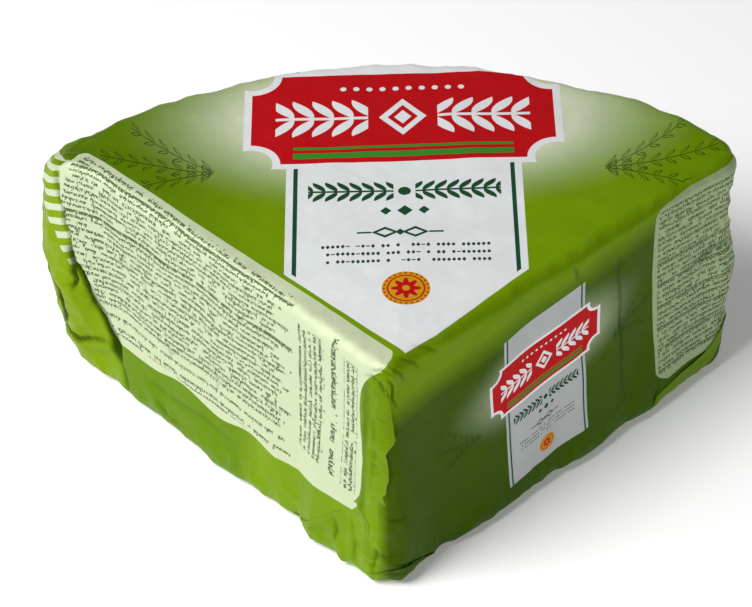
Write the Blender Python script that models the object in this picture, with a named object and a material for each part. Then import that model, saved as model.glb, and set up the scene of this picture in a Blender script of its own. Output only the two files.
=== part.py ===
"""A wedge of blue cheese in its foil wrap: an eighth of a wheel, a quarter circle cut at half height.

The shut pack is one closed solid. Its section is carried round the outline of the wedge, bulges push
the walls out where the soft cheese sags, and the foil's folds are layers laid over the walls and joined
to them. Metres, +Z up, the nose of the wedge points to -Y and the rim of the wheel to +Y. The origin is
on the table, under the middle of the pack's box.
"""

import math

import bmesh
import bpy
import numpy as np

MM = 0.001

# Driving sizes of the piece of wheel
WHEEL_RADIUS = 141.0 * MM
WEDGE_ANGLE = math.radians(93.0)
PACK_HEIGHT = 83.1 * MM
NOSE_RADIUS = 5.2 * MM
LEFT_CORNER_RADIUS = 9.5 * MM
RIGHT_CORNER_RADIUS = 6.6 * MM
TOP_EDGE_RADIUS = 4.3 * MM
BASE_EDGE_RADIUS = 5.2 * MM
BASE_LAYER = 0.5 * MM
NOSE_FROM_ORIGIN = (3.4 * MM, -70.0 * MM)

# The top's own unevenness
TOP_DISH = 0.8 * MM
TOP_DISH_REACH = 43.0 * MM
TOP_RIPPLE = 0.4 * MM
TOP_RIPPLE_LENGTH = 20.0 * MM
CORNER_DROOP = 3.0 * MM
DROOP_AT = (-100.0 * MM, 33.0 * MM)
DROOP_REACH = 14.0 * MM

# Foil folds: each layer's skin rises out of the wall at its hidden border and lifts towards its free
# edge, over a root that lies well inside the wall
LAYER_SUNK = -1.4 * MM
LAYER_ROOT = -3.0 * MM
LAYER_LEAST = 0.25 * MM
LAYER_TAPER = 0.3
LAYER_STEPS = 6

# Fineness of the faceted surface
COLUMNS = 128
WALL_RINGS = 14
EDGE_RINGS = 4
TOP_RINGS = 7
BASE_RINGS = 3
OUTLINE_SAMPLES = 6000
CORNER_CROWDING = 9.0 * MM

# The soft cheese spreads towards its foot, which is uneven: station along the outline, push outwards (mm).
# Stations run from the nose, positive along the right cut, negative along the left one.
FOOT_SPREAD = (
    (-237.5, 2.5), (-190.0, 3.2), (-161.5, 2.4), (-148.2, 5.4), (-136.8, 4.0), (-108.3, 5.2), (-90.2, 4.7),
    (-66.5, 6.3), (-47.5, 5.1), (-34.2, 4.2), (-25.6, 8.0), (-13.3, 7.6), (0.0, 5.5), (6.6, 4.4), (18.1, 3.2),
    (37.0, 5.9), (54.1, 4.9), (72.2, 5.7), (94.0, 3.2), (106.4, 3.8), (131.1, 2.3), (152.0, -0.9), (190.0, 1.9),
)
SPREAD_FALL = 1.7

# Bulges of the walls: station along the outline, height, spread both ways, push outwards (mm)
WALL_BULGES = (
    (-142.0, 46.0, 15.0, 34.0, 11.2),
    (-137.0, 70.0, 8.0, 12.0, 2.2),
    (-156.0, 84.0, 10.0, 12.0, -3.0),
    (-188.0, 76.0, 24.0, 38.0, 0.4),
    (140.6, 79.8, 14.2, 19.0, 1.1),
    (135.8, 40.0, 7.6, 8.5, 1.2),
    (166.0, 72.2, 26.0, 38.0, 3.8),
    (248.9, 38.0, 57.0, 24.7, 1.9),
    (0.0, 38.0, 8.5, 38.0, 1.1),
)

# Slow waves that keep the flat faces from looking machined: waves round the outline, phase, push (mm),
# and how far they lean over on the way up (radians per metre)
WALL_WAVES = ((11, 0.4, 0.20, 41.0), (19, 2.1, 0.14, -63.0), (29, 4.0, 0.08, 90.0))

FOIL_GREEN = (0.23, 0.37, 0.03, 1.0)


def clear_scene():
    """Starts from an empty scene."""
    for obj in list(bpy.data.objects):
        bpy.data.objects.remove(obj, do_unlink=True)


def bell(distance, spread):
    """1 at the middle, falling smoothly to nothing over a few spreads."""
    return np.exp(-((distance / spread) ** 2))


def ramp(value, low, high):
    """0 below low, 1 above high, smooth between them."""
    share = np.clip((value - low) / (high - low), 0.0, 1.0)
    return share * share * (3.0 - 2.0 * share)


class Outline:
    """The wedge seen from above, as a heading that turns only at its corners and along the rim.

    The heading is integrated into points, anticlockwise from the tip of the nose.
    """

    def __init__(self):
        half = WEDGE_ANGLE / 2.0
        nose_turn = math.pi / 2.0 - half
        nose_cut = NOSE_RADIUS / math.tan(half)
        lean_right = self.corner_lean(RIGHT_CORNER_RADIUS)
        lean_left = self.corner_lean(LEFT_CORNER_RADIUS)
        runs = (
            (NOSE_RADIUS * nose_turn, nose_turn),
            (self.cut_length(RIGHT_CORNER_RADIUS) - nose_cut, 0.0),
            (RIGHT_CORNER_RADIUS * (math.pi / 2.0 + lean_right), math.pi / 2.0 + lean_right),
            (WHEEL_RADIUS * (WEDGE_ANGLE - lean_right - lean_left), WEDGE_ANGLE - lean_right - lean_left),
            (LEFT_CORNER_RADIUS * (math.pi / 2.0 + lean_left), math.pi / 2.0 + lean_left),
            (self.cut_length(LEFT_CORNER_RADIUS) - nose_cut, 0.0),
            (NOSE_RADIUS * nose_turn, nose_turn),
        )
        ends = np.cumsum([0.0] + [length for length, _ in runs])
        headings = np.cumsum([0.0] + [turn for _, turn in runs])
        self.length = float(ends[-1])
        self.station = np.linspace(0.0, self.length, OUTLINE_SAMPLES + 1)
        self.heading = np.interp(self.station, ends, headings)
        middle = (self.heading[1:] + self.heading[:-1]) / 2.0
        step = self.length / OUTLINE_SAMPLES
        tip_y = NOSE_RADIUS / math.sin(half) - NOSE_RADIUS
        self.x = NOSE_FROM_ORIGIN[0] + np.concatenate([[0.0], np.cumsum(np.cos(middle) * step)])
        self.y = NOSE_FROM_ORIGIN[1] + tip_y + np.concatenate([[0.0], np.cumsum(np.sin(middle) * step)])

    @staticmethod
    def corner_lean(radius):
        """How far round the wheel a rear corner's rounding reaches, as an angle."""
        return math.asin(radius / (WHEEL_RADIUS - radius))

    @staticmethod
    def cut_length(radius):
        """Distance from the sharp nose to where a cut face meets its rear corner's rounding."""
        return math.sqrt((WHEEL_RADIUS - radius) ** 2 - radius**2)

    def at(self, station):
        """(points, outward normals) at stations, which wrap round the outline."""
        wrapped = np.mod(station, self.length)
        heading = np.interp(wrapped, self.station, self.heading)
        points = np.stack([np.interp(wrapped, self.station, axis) for axis in (self.x, self.y)], axis=-1)
        return points, np.stack([np.sin(heading), -np.cos(heading)], axis=-1)

    def columns(self, count):
        """Stations for the body's columns, closer together where the outline turns."""
        weight = np.gradient(self.station) + CORNER_CROWDING * np.gradient(self.heading)
        total = np.cumsum(weight) - weight[0]
        return np.interp(np.linspace(0.0, total[-1], count, endpoint=False), total, self.station)


def wall_push(outline, station, height):
    """How far the wall stands out from the plain wedge: the spreading foot, the bulges and the waves."""
    foot_station, foot_push = np.array(FOOT_SPREAD).T * MM
    foot = np.interp(np.asarray(station), foot_station, foot_push, period=outline.length)
    push = foot * np.clip(1.0 - height / PACK_HEIGHT, 0.0, 1.0) ** SPREAD_FALL
    for at_mm, up_mm, along_mm, tall_mm, push_mm in WALL_BULGES:
        apart = station - at_mm * MM
        apart = apart - outline.length * np.round(apart / outline.length)
        push = push + push_mm * MM * bell(apart, along_mm * MM) * bell(height - up_mm * MM, tall_mm * MM)
    for waves, phase, push_mm, lean in WALL_WAVES:
        turn = 2.0 * math.pi * waves * station / outline.length
        push = push + push_mm * MM * np.sin(turn + phase + lean * height)
    return push


def section():
    """Rings of the pack from top to base, as (inset from the outline, height, share of the way in).

    The wall and its two rounded edges have no share; the rings of the top and of the base close in
    on the middle of the wedge by their share.
    """
    rings = []
    top, low = PACK_HEIGHT, BASE_LAYER
    for share in np.linspace(1.0, 0.0, TOP_RINGS + 1)[1:-1]:
        rings.append((TOP_EDGE_RADIUS, top, float(share)))
    for angle in np.linspace(0.0, math.pi / 2.0, EDGE_RINGS, endpoint=False):
        inset = TOP_EDGE_RADIUS * (1.0 - math.sin(angle))
        rings.append((inset, top - TOP_EDGE_RADIUS * (1.0 - math.cos(angle)), 0.0))
    for height in np.linspace(top - TOP_EDGE_RADIUS, low + BASE_EDGE_RADIUS, WALL_RINGS):
        rings.append((0.0, float(height), 0.0))
    for angle in np.linspace(0.0, math.pi / 2.0, EDGE_RINGS + 1)[1:]:
        inset = BASE_EDGE_RADIUS * (1.0 - math.cos(angle))
        rings.append((inset, low + BASE_EDGE_RADIUS * (1.0 - math.sin(angle)), 0.0))
    for share in np.linspace(0.0, 1.0, BASE_RINGS + 1)[1:-1]:
        rings.append((BASE_EDGE_RADIUS, low, float(share)))
    return rings


def middle_of_wedge():
    """The point that the top and the base close in on."""
    return np.array([NOSE_FROM_ORIGIN[0], NOSE_FROM_ORIGIN[1] + 0.58 * WHEEL_RADIUS])


def top_sag(points):
    """The top is a little dished between its edges, and droops at the left rear corner."""
    away = np.linalg.norm(points - middle_of_wedge(), axis=-1)
    droop = bell(np.linalg.norm(points - np.array(DROOP_AT), axis=-1), DROOP_REACH)
    ripple = np.sin(points[..., 0] / TOP_RIPPLE_LENGTH + 1.0)
    return TOP_RIPPLE * ripple - TOP_DISH * bell(away, TOP_DISH_REACH) - CORNER_DROOP * droop


def ring_points(outline, stations, inset, height, share):
    """One ring of the body."""
    plan, normal = outline.at(stations)
    push = wall_push(outline, stations, height)
    ring = plan + normal * (push - inset)[..., None]
    ring = ring + (middle_of_wedge() - ring) * share
    level = height + top_sag(ring) * ramp(np.array(height), PACK_HEIGHT - 3.0 * TOP_EDGE_RADIUS, PACK_HEIGHT)
    return np.column_stack([ring, level])


def mesh_object(name, points, faces):
    """A mesh object of these points and faces, cut into flat triangles that face out."""
    mesh = bpy.data.meshes.new(name)
    mesh.from_pydata([tuple(point) for point in points], [], faces)
    shell = bmesh.new()
    shell.from_mesh(mesh)
    bmesh.ops.triangulate(shell, faces=shell.faces)
    bmesh.ops.recalc_face_normals(shell, faces=shell.faces)
    shell.to_mesh(mesh)
    shell.free()
    obj = bpy.data.objects.new(name, mesh)
    bpy.context.collection.objects.link(obj)
    return obj


def grid_faces(rows, columns, start=0, wrap=False):
    """Quads between neighbouring rows of a grid whose points are stored row by row."""
    faces = []
    for row in range(rows - 1):
        for column in range(columns if wrap else columns - 1):
            here, right = column, (column + 1) % columns
            above, below = start + row * columns, start + (row + 1) * columns
            faces.append((above + here, below + here, below + right, above + right))
    return faces


def body(outline):
    """The wrapped wedge without its loose folds: rings from the top's middle to the base's middle."""
    stations = outline.columns(COLUMNS)
    rings = [ring_points(outline, stations, *ring) for ring in section()]
    middle = middle_of_wedge()
    top_middle = [*middle, PACK_HEIGHT + float(top_sag(middle))]
    points = np.vstack([top_middle, *rings, [*middle, BASE_LAYER]])
    faces = grid_faces(len(rings), COLUMNS, start=1, wrap=True)
    last, base_middle = len(points) - 1 - COLUMNS, len(points) - 1
    for column in range(COLUMNS):
        right = (column + 1) % COLUMNS
        faces.append((0, 1 + column, 1 + right))
        faces.append((base_middle, last + right, last + column))
    return mesh_object("wrapped_wedge", points, faces)


def fold_layer(name, outline, heights, free_edge, width, lift, side):
    """A slab of foil on the wall whose free edge stands proud of it.

    heights are its levels, free_edge gives the station of its free edge at each level, and it reaches
    width back from there, on the given side. Its hidden border and its two ends are sunk in the wall.
    Between them it rises towards lift at its free edge, and tapers off towards the two ends.
    """
    height, share = np.meshgrid(heights, np.linspace(0.0, 1.0, LAYER_STEPS), indexing="ij")
    station = free_edge(height) + side * width * (1.0 - share)
    span = (height - heights[0]) / (heights[-1] - heights[0])
    taper = ramp(span, 0.0, LAYER_TAPER) * (1.0 - ramp(span, 1.0 - LAYER_TAPER, 1.0))
    offset = np.maximum(LAYER_LEAST, lift(height) * taper * share)
    offset[:, 0] = offset[0, :] = offset[-1, :] = LAYER_SUNK
    plan, normal = outline.at(station)
    push = wall_push(outline, station, height)
    outer = np.dstack([plan + normal * (push + offset)[..., None], height])
    inner = np.dstack([plan + normal * (push + LAYER_ROOT)[..., None], height])
    rows, columns = height.shape
    points = np.vstack([outer.reshape(-1, 3), inner.reshape(-1, 3)])
    under = rows * columns
    faces = grid_faces(rows, columns) + grid_faces(rows, columns, start=under)
    border = list(range(columns))
    border += [row * columns + columns - 1 for row in range(1, rows)]
    border += [(rows - 1) * columns + column for column in range(columns - 2, -1, -1)]
    border += [row * columns for row in range(rows - 2, 0, -1)]
    for here, there in zip(border, border[1:] + border[:1]):
        faces.append((here, there, under + there, under + here))
    return mesh_object(name, points, faces)


def along(height, levels_mm, stations_mm):
    """A free edge's station at each height, straight between the given levels."""
    return np.interp(height, np.array(levels_mm) * MM, np.array(stations_mm) * MM)


def left_fold(outline):
    """The left face's foil ends in a slanting edge over the ear tucked in at the rear corner."""

    def free_edge(height):
        slant = along(height, (4.0, 14.0, 31.0, 41.0, 62.0), (118.0, 120.5, 129.0, 134.5, 137.0))
        return -(slant + 0.7 * MM * np.sin(height / (3.8 * MM)))

    def lift(height):
        return 0.9 * MM + 1.5 * MM * bell(height - 20.0 * MM, 13.0 * MM)

    return fold_layer("left_fold", outline, np.linspace(5.0, 64.0, 18) * MM, free_edge, 20.0 * MM, lift, 1.0)


def right_fold(outline):
    """The right face's foil ends in a ragged edge at the rear corner and is tucked up at its foot."""

    def free_edge(height):
        slant = along(height, (5.0, 8.0, 24.0, 76.0), (108.0, 112.0, 134.5, 137.0))
        return slant + 0.8 * MM * np.sin(height / (3.1 * MM))

    def lift(height):
        return 1.2 * MM + 0.7 * MM * np.sin(height / (5.2 * MM))

    return fold_layer("right_fold", outline, np.linspace(6.0, 75.0, 20) * MM, free_edge, 18.0 * MM, lift, -1.0)


def nose_fold(outline):
    """The right face's foil comes round the nose and ends there in a wavy lip."""

    def free_edge(height):
        return along(height, (8.0, 39.0, 50.0, 65.0, 76.0), (-4.0, -3.0, -1.0, 2.0, 1.5))

    def lift(height):
        return 0.4 * MM + 0.9 * MM * bell(height - 62.0 * MM, 16.0 * MM)

    return fold_layer("nose_fold", outline, np.linspace(20.0, 77.0, 15) * MM, free_edge, 8.0 * MM, lift, 1.0)


def foot_fold(outline):
    """Under the left face near the nose the foil from the base comes up the wall and ends there."""

    def free_edge(height):
        return -(37.0 * MM - 0.45 * (height - 4.0 * MM))

    def lift(height):
        return 1.1 * MM - 0.02 * height

    return fold_layer("foot_fold", outline, np.linspace(5.0, 21.0, 7) * MM, free_edge, 20.0 * MM, lift, 1.0)


def base_flap(outline):
    """The last flap folded under: it reaches from the rim towards the nose and is what the pack rests on."""
    reach = outline.length / 2.0
    stations = np.linspace(reach - 106.0 * MM, reach + 106.0 * MM, 33)
    plan, normal = outline.at(stations)
    rim = plan - normal * (BASE_EDGE_RADIUS + 1.5 * MM)
    front = np.array([[-30.0, -13.0], [4.0, -32.0], [38.0, -11.0]]) * MM
    edge = np.vstack([rim, front])
    mesh = bpy.data.meshes.new("base_flap")
    slab = bmesh.new()
    ring = [slab.verts.new((x, y, 0.0)) for x, y in edge]
    face = slab.faces.new(ring)
    raised = bmesh.ops.extrude_face_region(slab, geom=[face])
    top = [item for item in raised["geom"] if isinstance(item, bmesh.types.BMVert)]
    bmesh.ops.translate(slab, verts=top, vec=(0.0, 0.0, BASE_LAYER - LAYER_ROOT))
    bmesh.ops.recalc_face_normals(slab, faces=slab.faces)
    slab.to_mesh(mesh)
    slab.free()
    obj = bpy.data.objects.new("base_flap", mesh)
    bpy.context.collection.objects.link(obj)
    return obj


def join_solids(main, pieces):
    """One Boolean union of the pieces with the main body, applied, and the pieces then removed."""
    gathered = bpy.data.collections.new("folds")
    bpy.context.scene.collection.children.link(gathered)
    for piece in pieces:
        gathered.objects.link(piece)
    union = main.modifiers.new("union", "BOOLEAN")
    union.operation = "UNION"
    union.operand_type = "COLLECTION"
    union.collection = gathered
    union.solver = "EXACT"
    bpy.context.view_layer.update()
    graph = bpy.context.evaluated_depsgraph_get()
    joined = bpy.data.meshes.new_from_object(main.evaluated_get(graph))
    main.modifiers.remove(union)
    main.data = joined
    for piece in pieces:
        bpy.data.objects.remove(piece, do_unlink=True)
    bpy.data.collections.remove(gathered)
    return main


def printed_foil():
    """The green lacquered foil: a satin metal under a strong colour."""
    material = bpy.data.materials.new("printed_foil")
    material.use_nodes = True
    shader = material.node_tree.nodes["Principled BSDF"]
    shader.inputs["Base Color"].default_value = FOIL_GREEN
    shader.inputs["Roughness"].default_value = 0.42
    shader.inputs["Metallic"].default_value = 0.3
    return material


def main():
    clear_scene()
    outline = Outline()
    pack = body(outline)
    folds = [make(outline) for make in (left_fold, right_fold, nose_fold, foot_fold, base_flap)]
    join_solids(pack, folds)
    pack.data.materials.clear()
    pack.data.materials.append(printed_foil())
    pack.data.shade_smooth()
    pack.data.set_sharp_from_angle(angle=math.radians(40.0))


main()
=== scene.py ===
"""The looks of a wedge of blue cheese in its printed foil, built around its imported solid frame.

The foil is one closed skin carried over the plain wedge, with its crumples and creases worked into the
mesh, and thin sheets laid over it where the wrap folds over itself. The print is fields of colour, plain
ornaments and rows of uneven marks. Shapes are worked out in millimetres and written to the mesh in metres.
"""

import itertools
import math

import bpy
import numpy as np
from mathutils import Matrix, Vector


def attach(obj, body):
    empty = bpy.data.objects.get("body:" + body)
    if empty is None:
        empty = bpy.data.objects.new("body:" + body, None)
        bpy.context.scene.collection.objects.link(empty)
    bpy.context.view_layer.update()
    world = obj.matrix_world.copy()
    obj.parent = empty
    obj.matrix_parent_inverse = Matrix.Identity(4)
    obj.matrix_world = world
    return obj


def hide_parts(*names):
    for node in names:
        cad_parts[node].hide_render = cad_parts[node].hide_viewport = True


bl_info = {
    "name": "Foil Wrapped Cheese Wedge",
    "version": (1, 0, 0),
    "blender": (4, 5, 0),
    "location": "3D View > Sidebar > Cheese Wedge",
    "description": "Makes the printed foil of a wrapped wedge of blue cheese, its folds and its studio",
    "category": "Add Mesh",
}

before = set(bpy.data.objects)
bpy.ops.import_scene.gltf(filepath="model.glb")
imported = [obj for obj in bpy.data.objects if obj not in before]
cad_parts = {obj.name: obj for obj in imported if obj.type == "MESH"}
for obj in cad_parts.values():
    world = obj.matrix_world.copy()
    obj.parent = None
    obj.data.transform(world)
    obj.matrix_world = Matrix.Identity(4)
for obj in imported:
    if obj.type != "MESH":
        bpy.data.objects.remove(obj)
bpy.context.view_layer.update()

MM = 0.001
SOLID = "wrapped_wedge"
BODY = "root"
FOIL_MATERIAL = "lacquered_foil"
WHITE = (1.0, 1.0, 1.0, 1.0)
ROOT_TWO = math.sqrt(2.0)

# The plain wedge's own unevenness, close to its solid's: station along the outline and push outwards (mm)
FOOT_SPREAD = (
    (-237.5, 2.5), (-190, 3.2), (-161.5, 2.4), (-148.2, 5.4), (-136.8, 3.9), (-127, 3.4), (-108.3, 5.2),
    (-90.2, 4.7), (-66.5, 6.3), (-47.5, 5.1), (-34.2, 4.2), (-25.6, 8), (-13.3, 7.6), (0, 5.2), (6.6, 4.1),
    (18.1, 3), (37, 4.9), (54.1, 3.4), (64, 3.5), (73, 5.1), (94, 3.2), (106.4, 3.8), (131.1, 2.3),
    (152, -0.9), (190, 1.9),
)
SPREAD_FALL = 1.7

# Bulges of the walls: station, height, spread along, spread up, push outwards (mm)
WALL_BULGES = (
    (-142, 46, 15, 34, 11.2), (-137, 70, 8, 12, 2.2), (-156, 84, 10, 12, -0.2),
    (-194, 84, 11, 16, -2.2), (-140.5, 78, 5, 8, 1.4), (-188, 76, 24, 38, 0.4),
    (140.6, 79.8, 14.2, 19, 1.1), (135.8, 40, 7.6, 8.5, 1.2), (166, 72.2, 26, 38, 3.8),
    (248.9, 38, 57, 24.7, 1.9), (0, 38, 8.5, 38, 1.1), (142.5, 66.5, 8, 8, -2.5),
    (143, 54, 7, 5, -1.4),
)

# Slow waves round the wall: how many, phase, push outwards (mm), lean per mm of height
WALL_WAVES = ((11, 0.4, 0.20, 0.041), (19, 2.1, 0.14, -0.063), (29, 4, 0.08, 0.090))

# Creases of the skin, as points (station, height up the unrolled section) in mm, with depth and width.
# A negative depth is a raised ridge.
CREASES = (
    (((-130.2, 53), (-129.4, 48), (-126.6, 43.4), (-125, 38), (-123.6, 34)), 2.2, 0.9),
    (((-125.4, 39), (-123.4, 32.8), (-120.8, 29.4), (-118.9, 25.4), (-117.1, 22), (-115.9, 18),
      (-115.6, 15)), 3.8, 1.6),
    (((-135.5, 84), (-133.9, 76), (-132.8, 69.8), (-131.4, 66.6), (-131.5, 61.8), (-130.6, 58.8),
      (-129.9, 53.4), (-129.6, 48)), 0.55, 0.55),
    (((-129.6, 47.9), (-129.6, 43.4), (-128.8, 40.9), (-130.1, 36.9)), 1.2, 0.7),
    (((-137.6, 38), (-136.2, 33.5), (-134.6, 30), (-133.4, 22.9), (-134.5, 17)), 1.3, 0.8),
    (((-139, 11.5), (-134, 16), (-130.6, 14.6), (-127.4, 16.4), (-119.8, 18.7)), 0.8, 0.8),
    (((-116.8, 18.4), (-115.3, 14.2), (-113, 10.7), (-110.8, 6.2), (-110.5, 1.5)), 0.45, 0.8),
    (((-104, 15.5), (-92, 14.4), (-78, 16.6), (-60, 15.4)), 0.20, 1.1),
    (((-98, 10), (-92, 6.5), (-84, 5.5)), 0.3, 1.1),
    (((-105, 58), (-101, 52), (-100.5, 47)), 0.26, 0.5),
    (((-93, 38), (-90.5, 32), (-87, 36)), 0.34, 0.5),
    (((-72, 40), (-69, 36), (-69.5, 31)), 0.28, 0.5),
    (((-118, 66), (-104, 62.5), (-90, 66), (-74, 62)), -0.28, 1.5),
    (((-108, 40), (-96, 44.5), (-80, 42), (-64, 46)), -0.26, 1.4),
    (((-66, 58), (-56, 50), (-52, 38)), -0.24, 1.3),
    (((-27, 80), (-24, 76), (-25, 70)), 0.22, 0.5),
    (((-3.4, 66), (-2.4, 52), (-3.4, 36)), 0.20, 0.6),
    (((-36.5, 3.2), (-33, 3.6), (-30.5, 5)), 0.9, 0.7),
    (((-16.8, 18), (-15, 13), (-16, 9)), 0.4, 0.6),
    (((-9.2, 20), (-7.5, 13), (-7.9, 6)), 0.3, 0.6),
    (((-1.9, 15.7), (-1.8, 13), (-2.1, 9.7), (-2.6, 5)), 0.45, 0.4),
    (((-1.9, 14.6), (-0.4, 12.7), (1.2, 13.6)), 0.4, 0.5),
    (((0.1, 27.4), (1.4, 26.4), (3.4, 27)), 0.4, 0.6),
    (((0.6, 10), (4.1, 7.2), (14.7, 2.7)), 0.5, 0.5),
    (((-1.5, 7), (2.5, 5.6), (6.5, 3.2)), 0.5, 0.5),
    (((-6, 78.4), (-3.6, 79.6), (-1, 77.4), (0.6, 73)), 0.45, 0.5),
    (((0.8, 79.4), (2.4, 76), (2, 72), (3.2, 68)), 0.55, 0.5),
    (((-4.8, 81.4), (-1, 82.8), (2.6, 80.6)), 0.40, 0.5),
    (((2, 84.6), (5, 79.5), (6.5, 76)), 0.40, 0.6),
    (((6, 85.5), (10.5, 80), (12.5, 76.5)), 0.35, 0.6),
    (((13, 86), (17.5, 81), (19, 78.6)), 0.28, 0.6),
    (((90, 72), (89.6, 64.3), (90.8, 54.5), (90.4, 47.1), (91.3, 37.5), (90.8, 26.8), (92, 14)),
     0.45, 0.6),
    (((71, 80.5), (72.6, 76.3), (73.2, 73)), 0.35, 0.7),
    (((94, 28), (97.5, 19), (103, 9)), -0.35, 1.3),
    (((104.6, 2), (104.9, 7), (106.5, 10.5)), 0.6, 0.7),
    (((106, 60), (118, 62.5), (130, 60), (137, 63)), -0.30, 1.6),
    (((120, 48), (129, 52.5), (137, 51)), 0.45, 1.2),
    (((143.5, 79), (141.5, 67), (142.5, 56)), 2.6, 4),
    (((143.5, 46), (142, 36), (142.5, 20)), 2.4, 3.6),
    (((137.2, 78), (135.6, 70), (135.2, 62)), 0.9, 0.6),
    (((138.8, 50), (138.4, 42), (136.9, 35), (136.6, 27), (134, 18)), 1.2, 0.6),
    (((-150, 84), (-149, 60), (-151, 30), (-150, 4)), 0.8, 1.1),
    (((150, 84), (151, 60), (149, 34), (151.5, 3)), 0.7, 1),
    (((176, 2), (180, 18), (172, 34)), -0.5, 1.2),
    (((-205, 3), (-199, 20), (-208, 36)), 0.6, 1.2),
)

# Pleats stand out as straight-sided folds: points (station, height), how far out, how wide to each side (mm)
PLEATS = (
    (((-135.5, 44), (-131.5, 36.5), (-128.4, 29), (-126.4, 20)), 1.7, 3.6),
    (((-137.3, 10), (-132.1, 14.2), (-130.1, 12.6), (-128.1, 14.2), (-119.8, 16.4), (-115.3, 16.9)),
     1.5, 3.4),
    (((-129, 12), (-124.6, 6.5), (-122.4, 0.5)), 1, 3.2),
    (((-141, 27), (-138, 20), (-140.5, 12)), 1.1, 3),
    (((-104, 13), (-97, 7), (-93, 0.5)), 0.7, 4.5),
    (((-88, 3), (-72, 8), (-55, 11.5)), 0.5, 3.5),
    (((-62, 0.5), (-57, 6), (-48, 8)), 0.6, 3),
    (((-32.5, 5), (-25, 9), (-15.5, 20.5)), 0.5, 2.6),
    (((-22, 14), (-16.5, 12), (-14.5, 6), (-13, 0)), 0.9, 2.6),
    (((-10.5, 22), (-9, 12), (-10.5, 3)), 0.5, 2.6),
    (((-6, 78), (-5.2, 70), (-6, 58), (-5.2, 40), (-6.3, 29)), 0.25, 1.4),
    (((-4.4, 24), (-3.8, 14), (-4.6, 4)), 0.5, 1.8),
    (((3.5, 24), (2.2, 14), (3.2, 5)), 0.4, 2),
    (((24, 1), (30, 7), (42, 9)), 0.5, 3),
    (((64, 0.5), (70, 6), (80, 8.5)), 0.5, 3.2),
    (((96, 1), (98.5, 14), (103, 26)), 0.5, 3.6),
    (((133, 70), (136.5, 66), (137.5, 60)), 0.7, 2.6),
    (((127, 34), (132, 31), (137, 34)), 0.8, 2.4),
    (((-60, 76), (-44, 74), (-30, 78.5)), 0.25, 3.5),
    (((-122, 78), (-112, 66), (-108, 52)), 0.35, 5),
)

# Free edges of the sheets that lie over the skin, as (station, height) in mm from one end to the other,
# and the hidden borders that they run down to
LEFT_FLAP = (
    (-134.4, 84), (-133.2, 76), (-132.1, 69.8), (-130.6, 66.6), (-130.8, 61.8), (-129.8, 58.8),
    (-129.1, 53.4), (-128.3, 48.1), (-125.1, 43.1), (-123.7, 37.6), (-122.1, 32.4), (-119.4, 30),
    (-117.5, 25.9), (-115.7, 22.7), (-114.2, 20), (-114, 16),
)
LEFT_FLAP_ROOT = ((-113, 85), (-109, 52), (-101, 30), (-97, 15))
RIGHT_FIN = (
    (139.6, 84), (137.6, 79.5), (136, 75), (135.2, 70), (135.6, 66), (134.6, 63.4), (135.2, 61),
    (137.4, 57), (138.6, 52), (138, 46), (138.4, 42), (137.2, 38), (136.6, 35.2), (134.9, 34),
    (136.3, 32.2), (135.6, 27), (133.4, 21), (131, 16),
)
RIGHT_FIN_ROOT = ((121, 85), (118, 60), (117, 34), (116, 17))
RIGHT_TUCK = (
    (101.5, -3), (104.2, 3), (106, 7.4), (114.3, 9), (121.8, 9.3), (127.1, 10.7), (132.3, 13.4),
    (137, 18.5), (143, 25),
)
RIGHT_TUCK_ROOT = ((108, -4.6), (120, -4.6), (134, -3.8), (148, 6), (152, 18))
NOSE_LIP = (
    (-1.6, 77.8), (0.6, 75.6), (1.1, 71.6), (1.4, 65.3), (1.9, 58.1), (-0.1, 52.4), (0.4, 48.9), (0.2, 42.9),
    (-0.6, 36.6), (0.2, 31),
)
NOSE_LIP_ROOT = ((-4.2, 78.2), (-6, 66), (-5.6, 52), (-5.6, 30))
FOOT_PATCH = (
    (-37, 0.6), (-35, 2.9), (-32.2, 5.4), (-28.7, 7.4), (-21.4, 14.7), (-17, 19.2), (-13.2, 22.2),
    (-9.9, 24.7), (-4.9, 26.7), (-3.3, 24.2), (-3.2, 19), (-2.6, 13), (-2.4, 7), (-1.6, 2),
)
FOOT_PATCH_ROOT = ((-33, -3.6), (-24, -4.6), (-12, -4.6), (-4, -4.6), (-1, -4.2))
NOSE_TURN_UP = ((-4.6, 3.6), (-1.2, 6.6), (1.6, 8.2), (4.1, 7.2), (9, 5), (13, 2.6), (17, -1))
NOSE_TURN_UP_ROOT = ((-4, -4.4), (4, -4.8), (10, -4.8), (15, -4.4))
RIM_LAP = ((196, 82), (197.5, 70), (195.8, 55), (198, 40), (196.4, 24), (198.4, 10), (197, 2))
RIM_LAP_ROOT = ((214, 82), (215, 2))
RIM_EAR = ((-152, 78), (-158, 66), (-163, 50), (-170, 36), (-176, 20), (-187, 4))
RIM_EAR_ROOT = ((-146, 79), (-148, 50), (-150, 25), (-156, 0))

# Marks of the sheets whose print is a lower layer of the wrap, kept with their mesh
NO_LAYER = 0.0
LIP_LAYER = 0.3
PATCH_LAYER = 0.5

# The label's corner from the nose, its turn, and its parts along and across (mm)
LABEL_CORNER = (6.45, 8.04)
LABEL_TURN = math.radians(2.72)
LABEL_HALF = 34.96
PLAQUE_AT = 105.3
PLAQUE_HALF = (45.8, 20.6)
PLAQUE_SCOOP = 9.0
PLAQUE_BORDER = 2.3
PLAQUE_ROOM = (52.0, 26.0)
GARLAND_AT = 71.0
LOZENGES_AT = 62.2
KNOT_AT = 52.3
BEADS_AT = 43.1
BEADS_HALF = (24.7, 5.0)
DISC_AT = 27.4

# The small label on the right face: station and height of its plaque, its scale, and the rise of its foot
SMALL_LABEL_AT = (59.9, 50.2)
SMALL_LABEL_WIDE = 0.4605
SMALL_LABEL_TALL = 0.415
SMALL_LABEL_RISE = 0.125
SMALL_LABEL_SPAN = (-38.1, 18.6)

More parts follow.
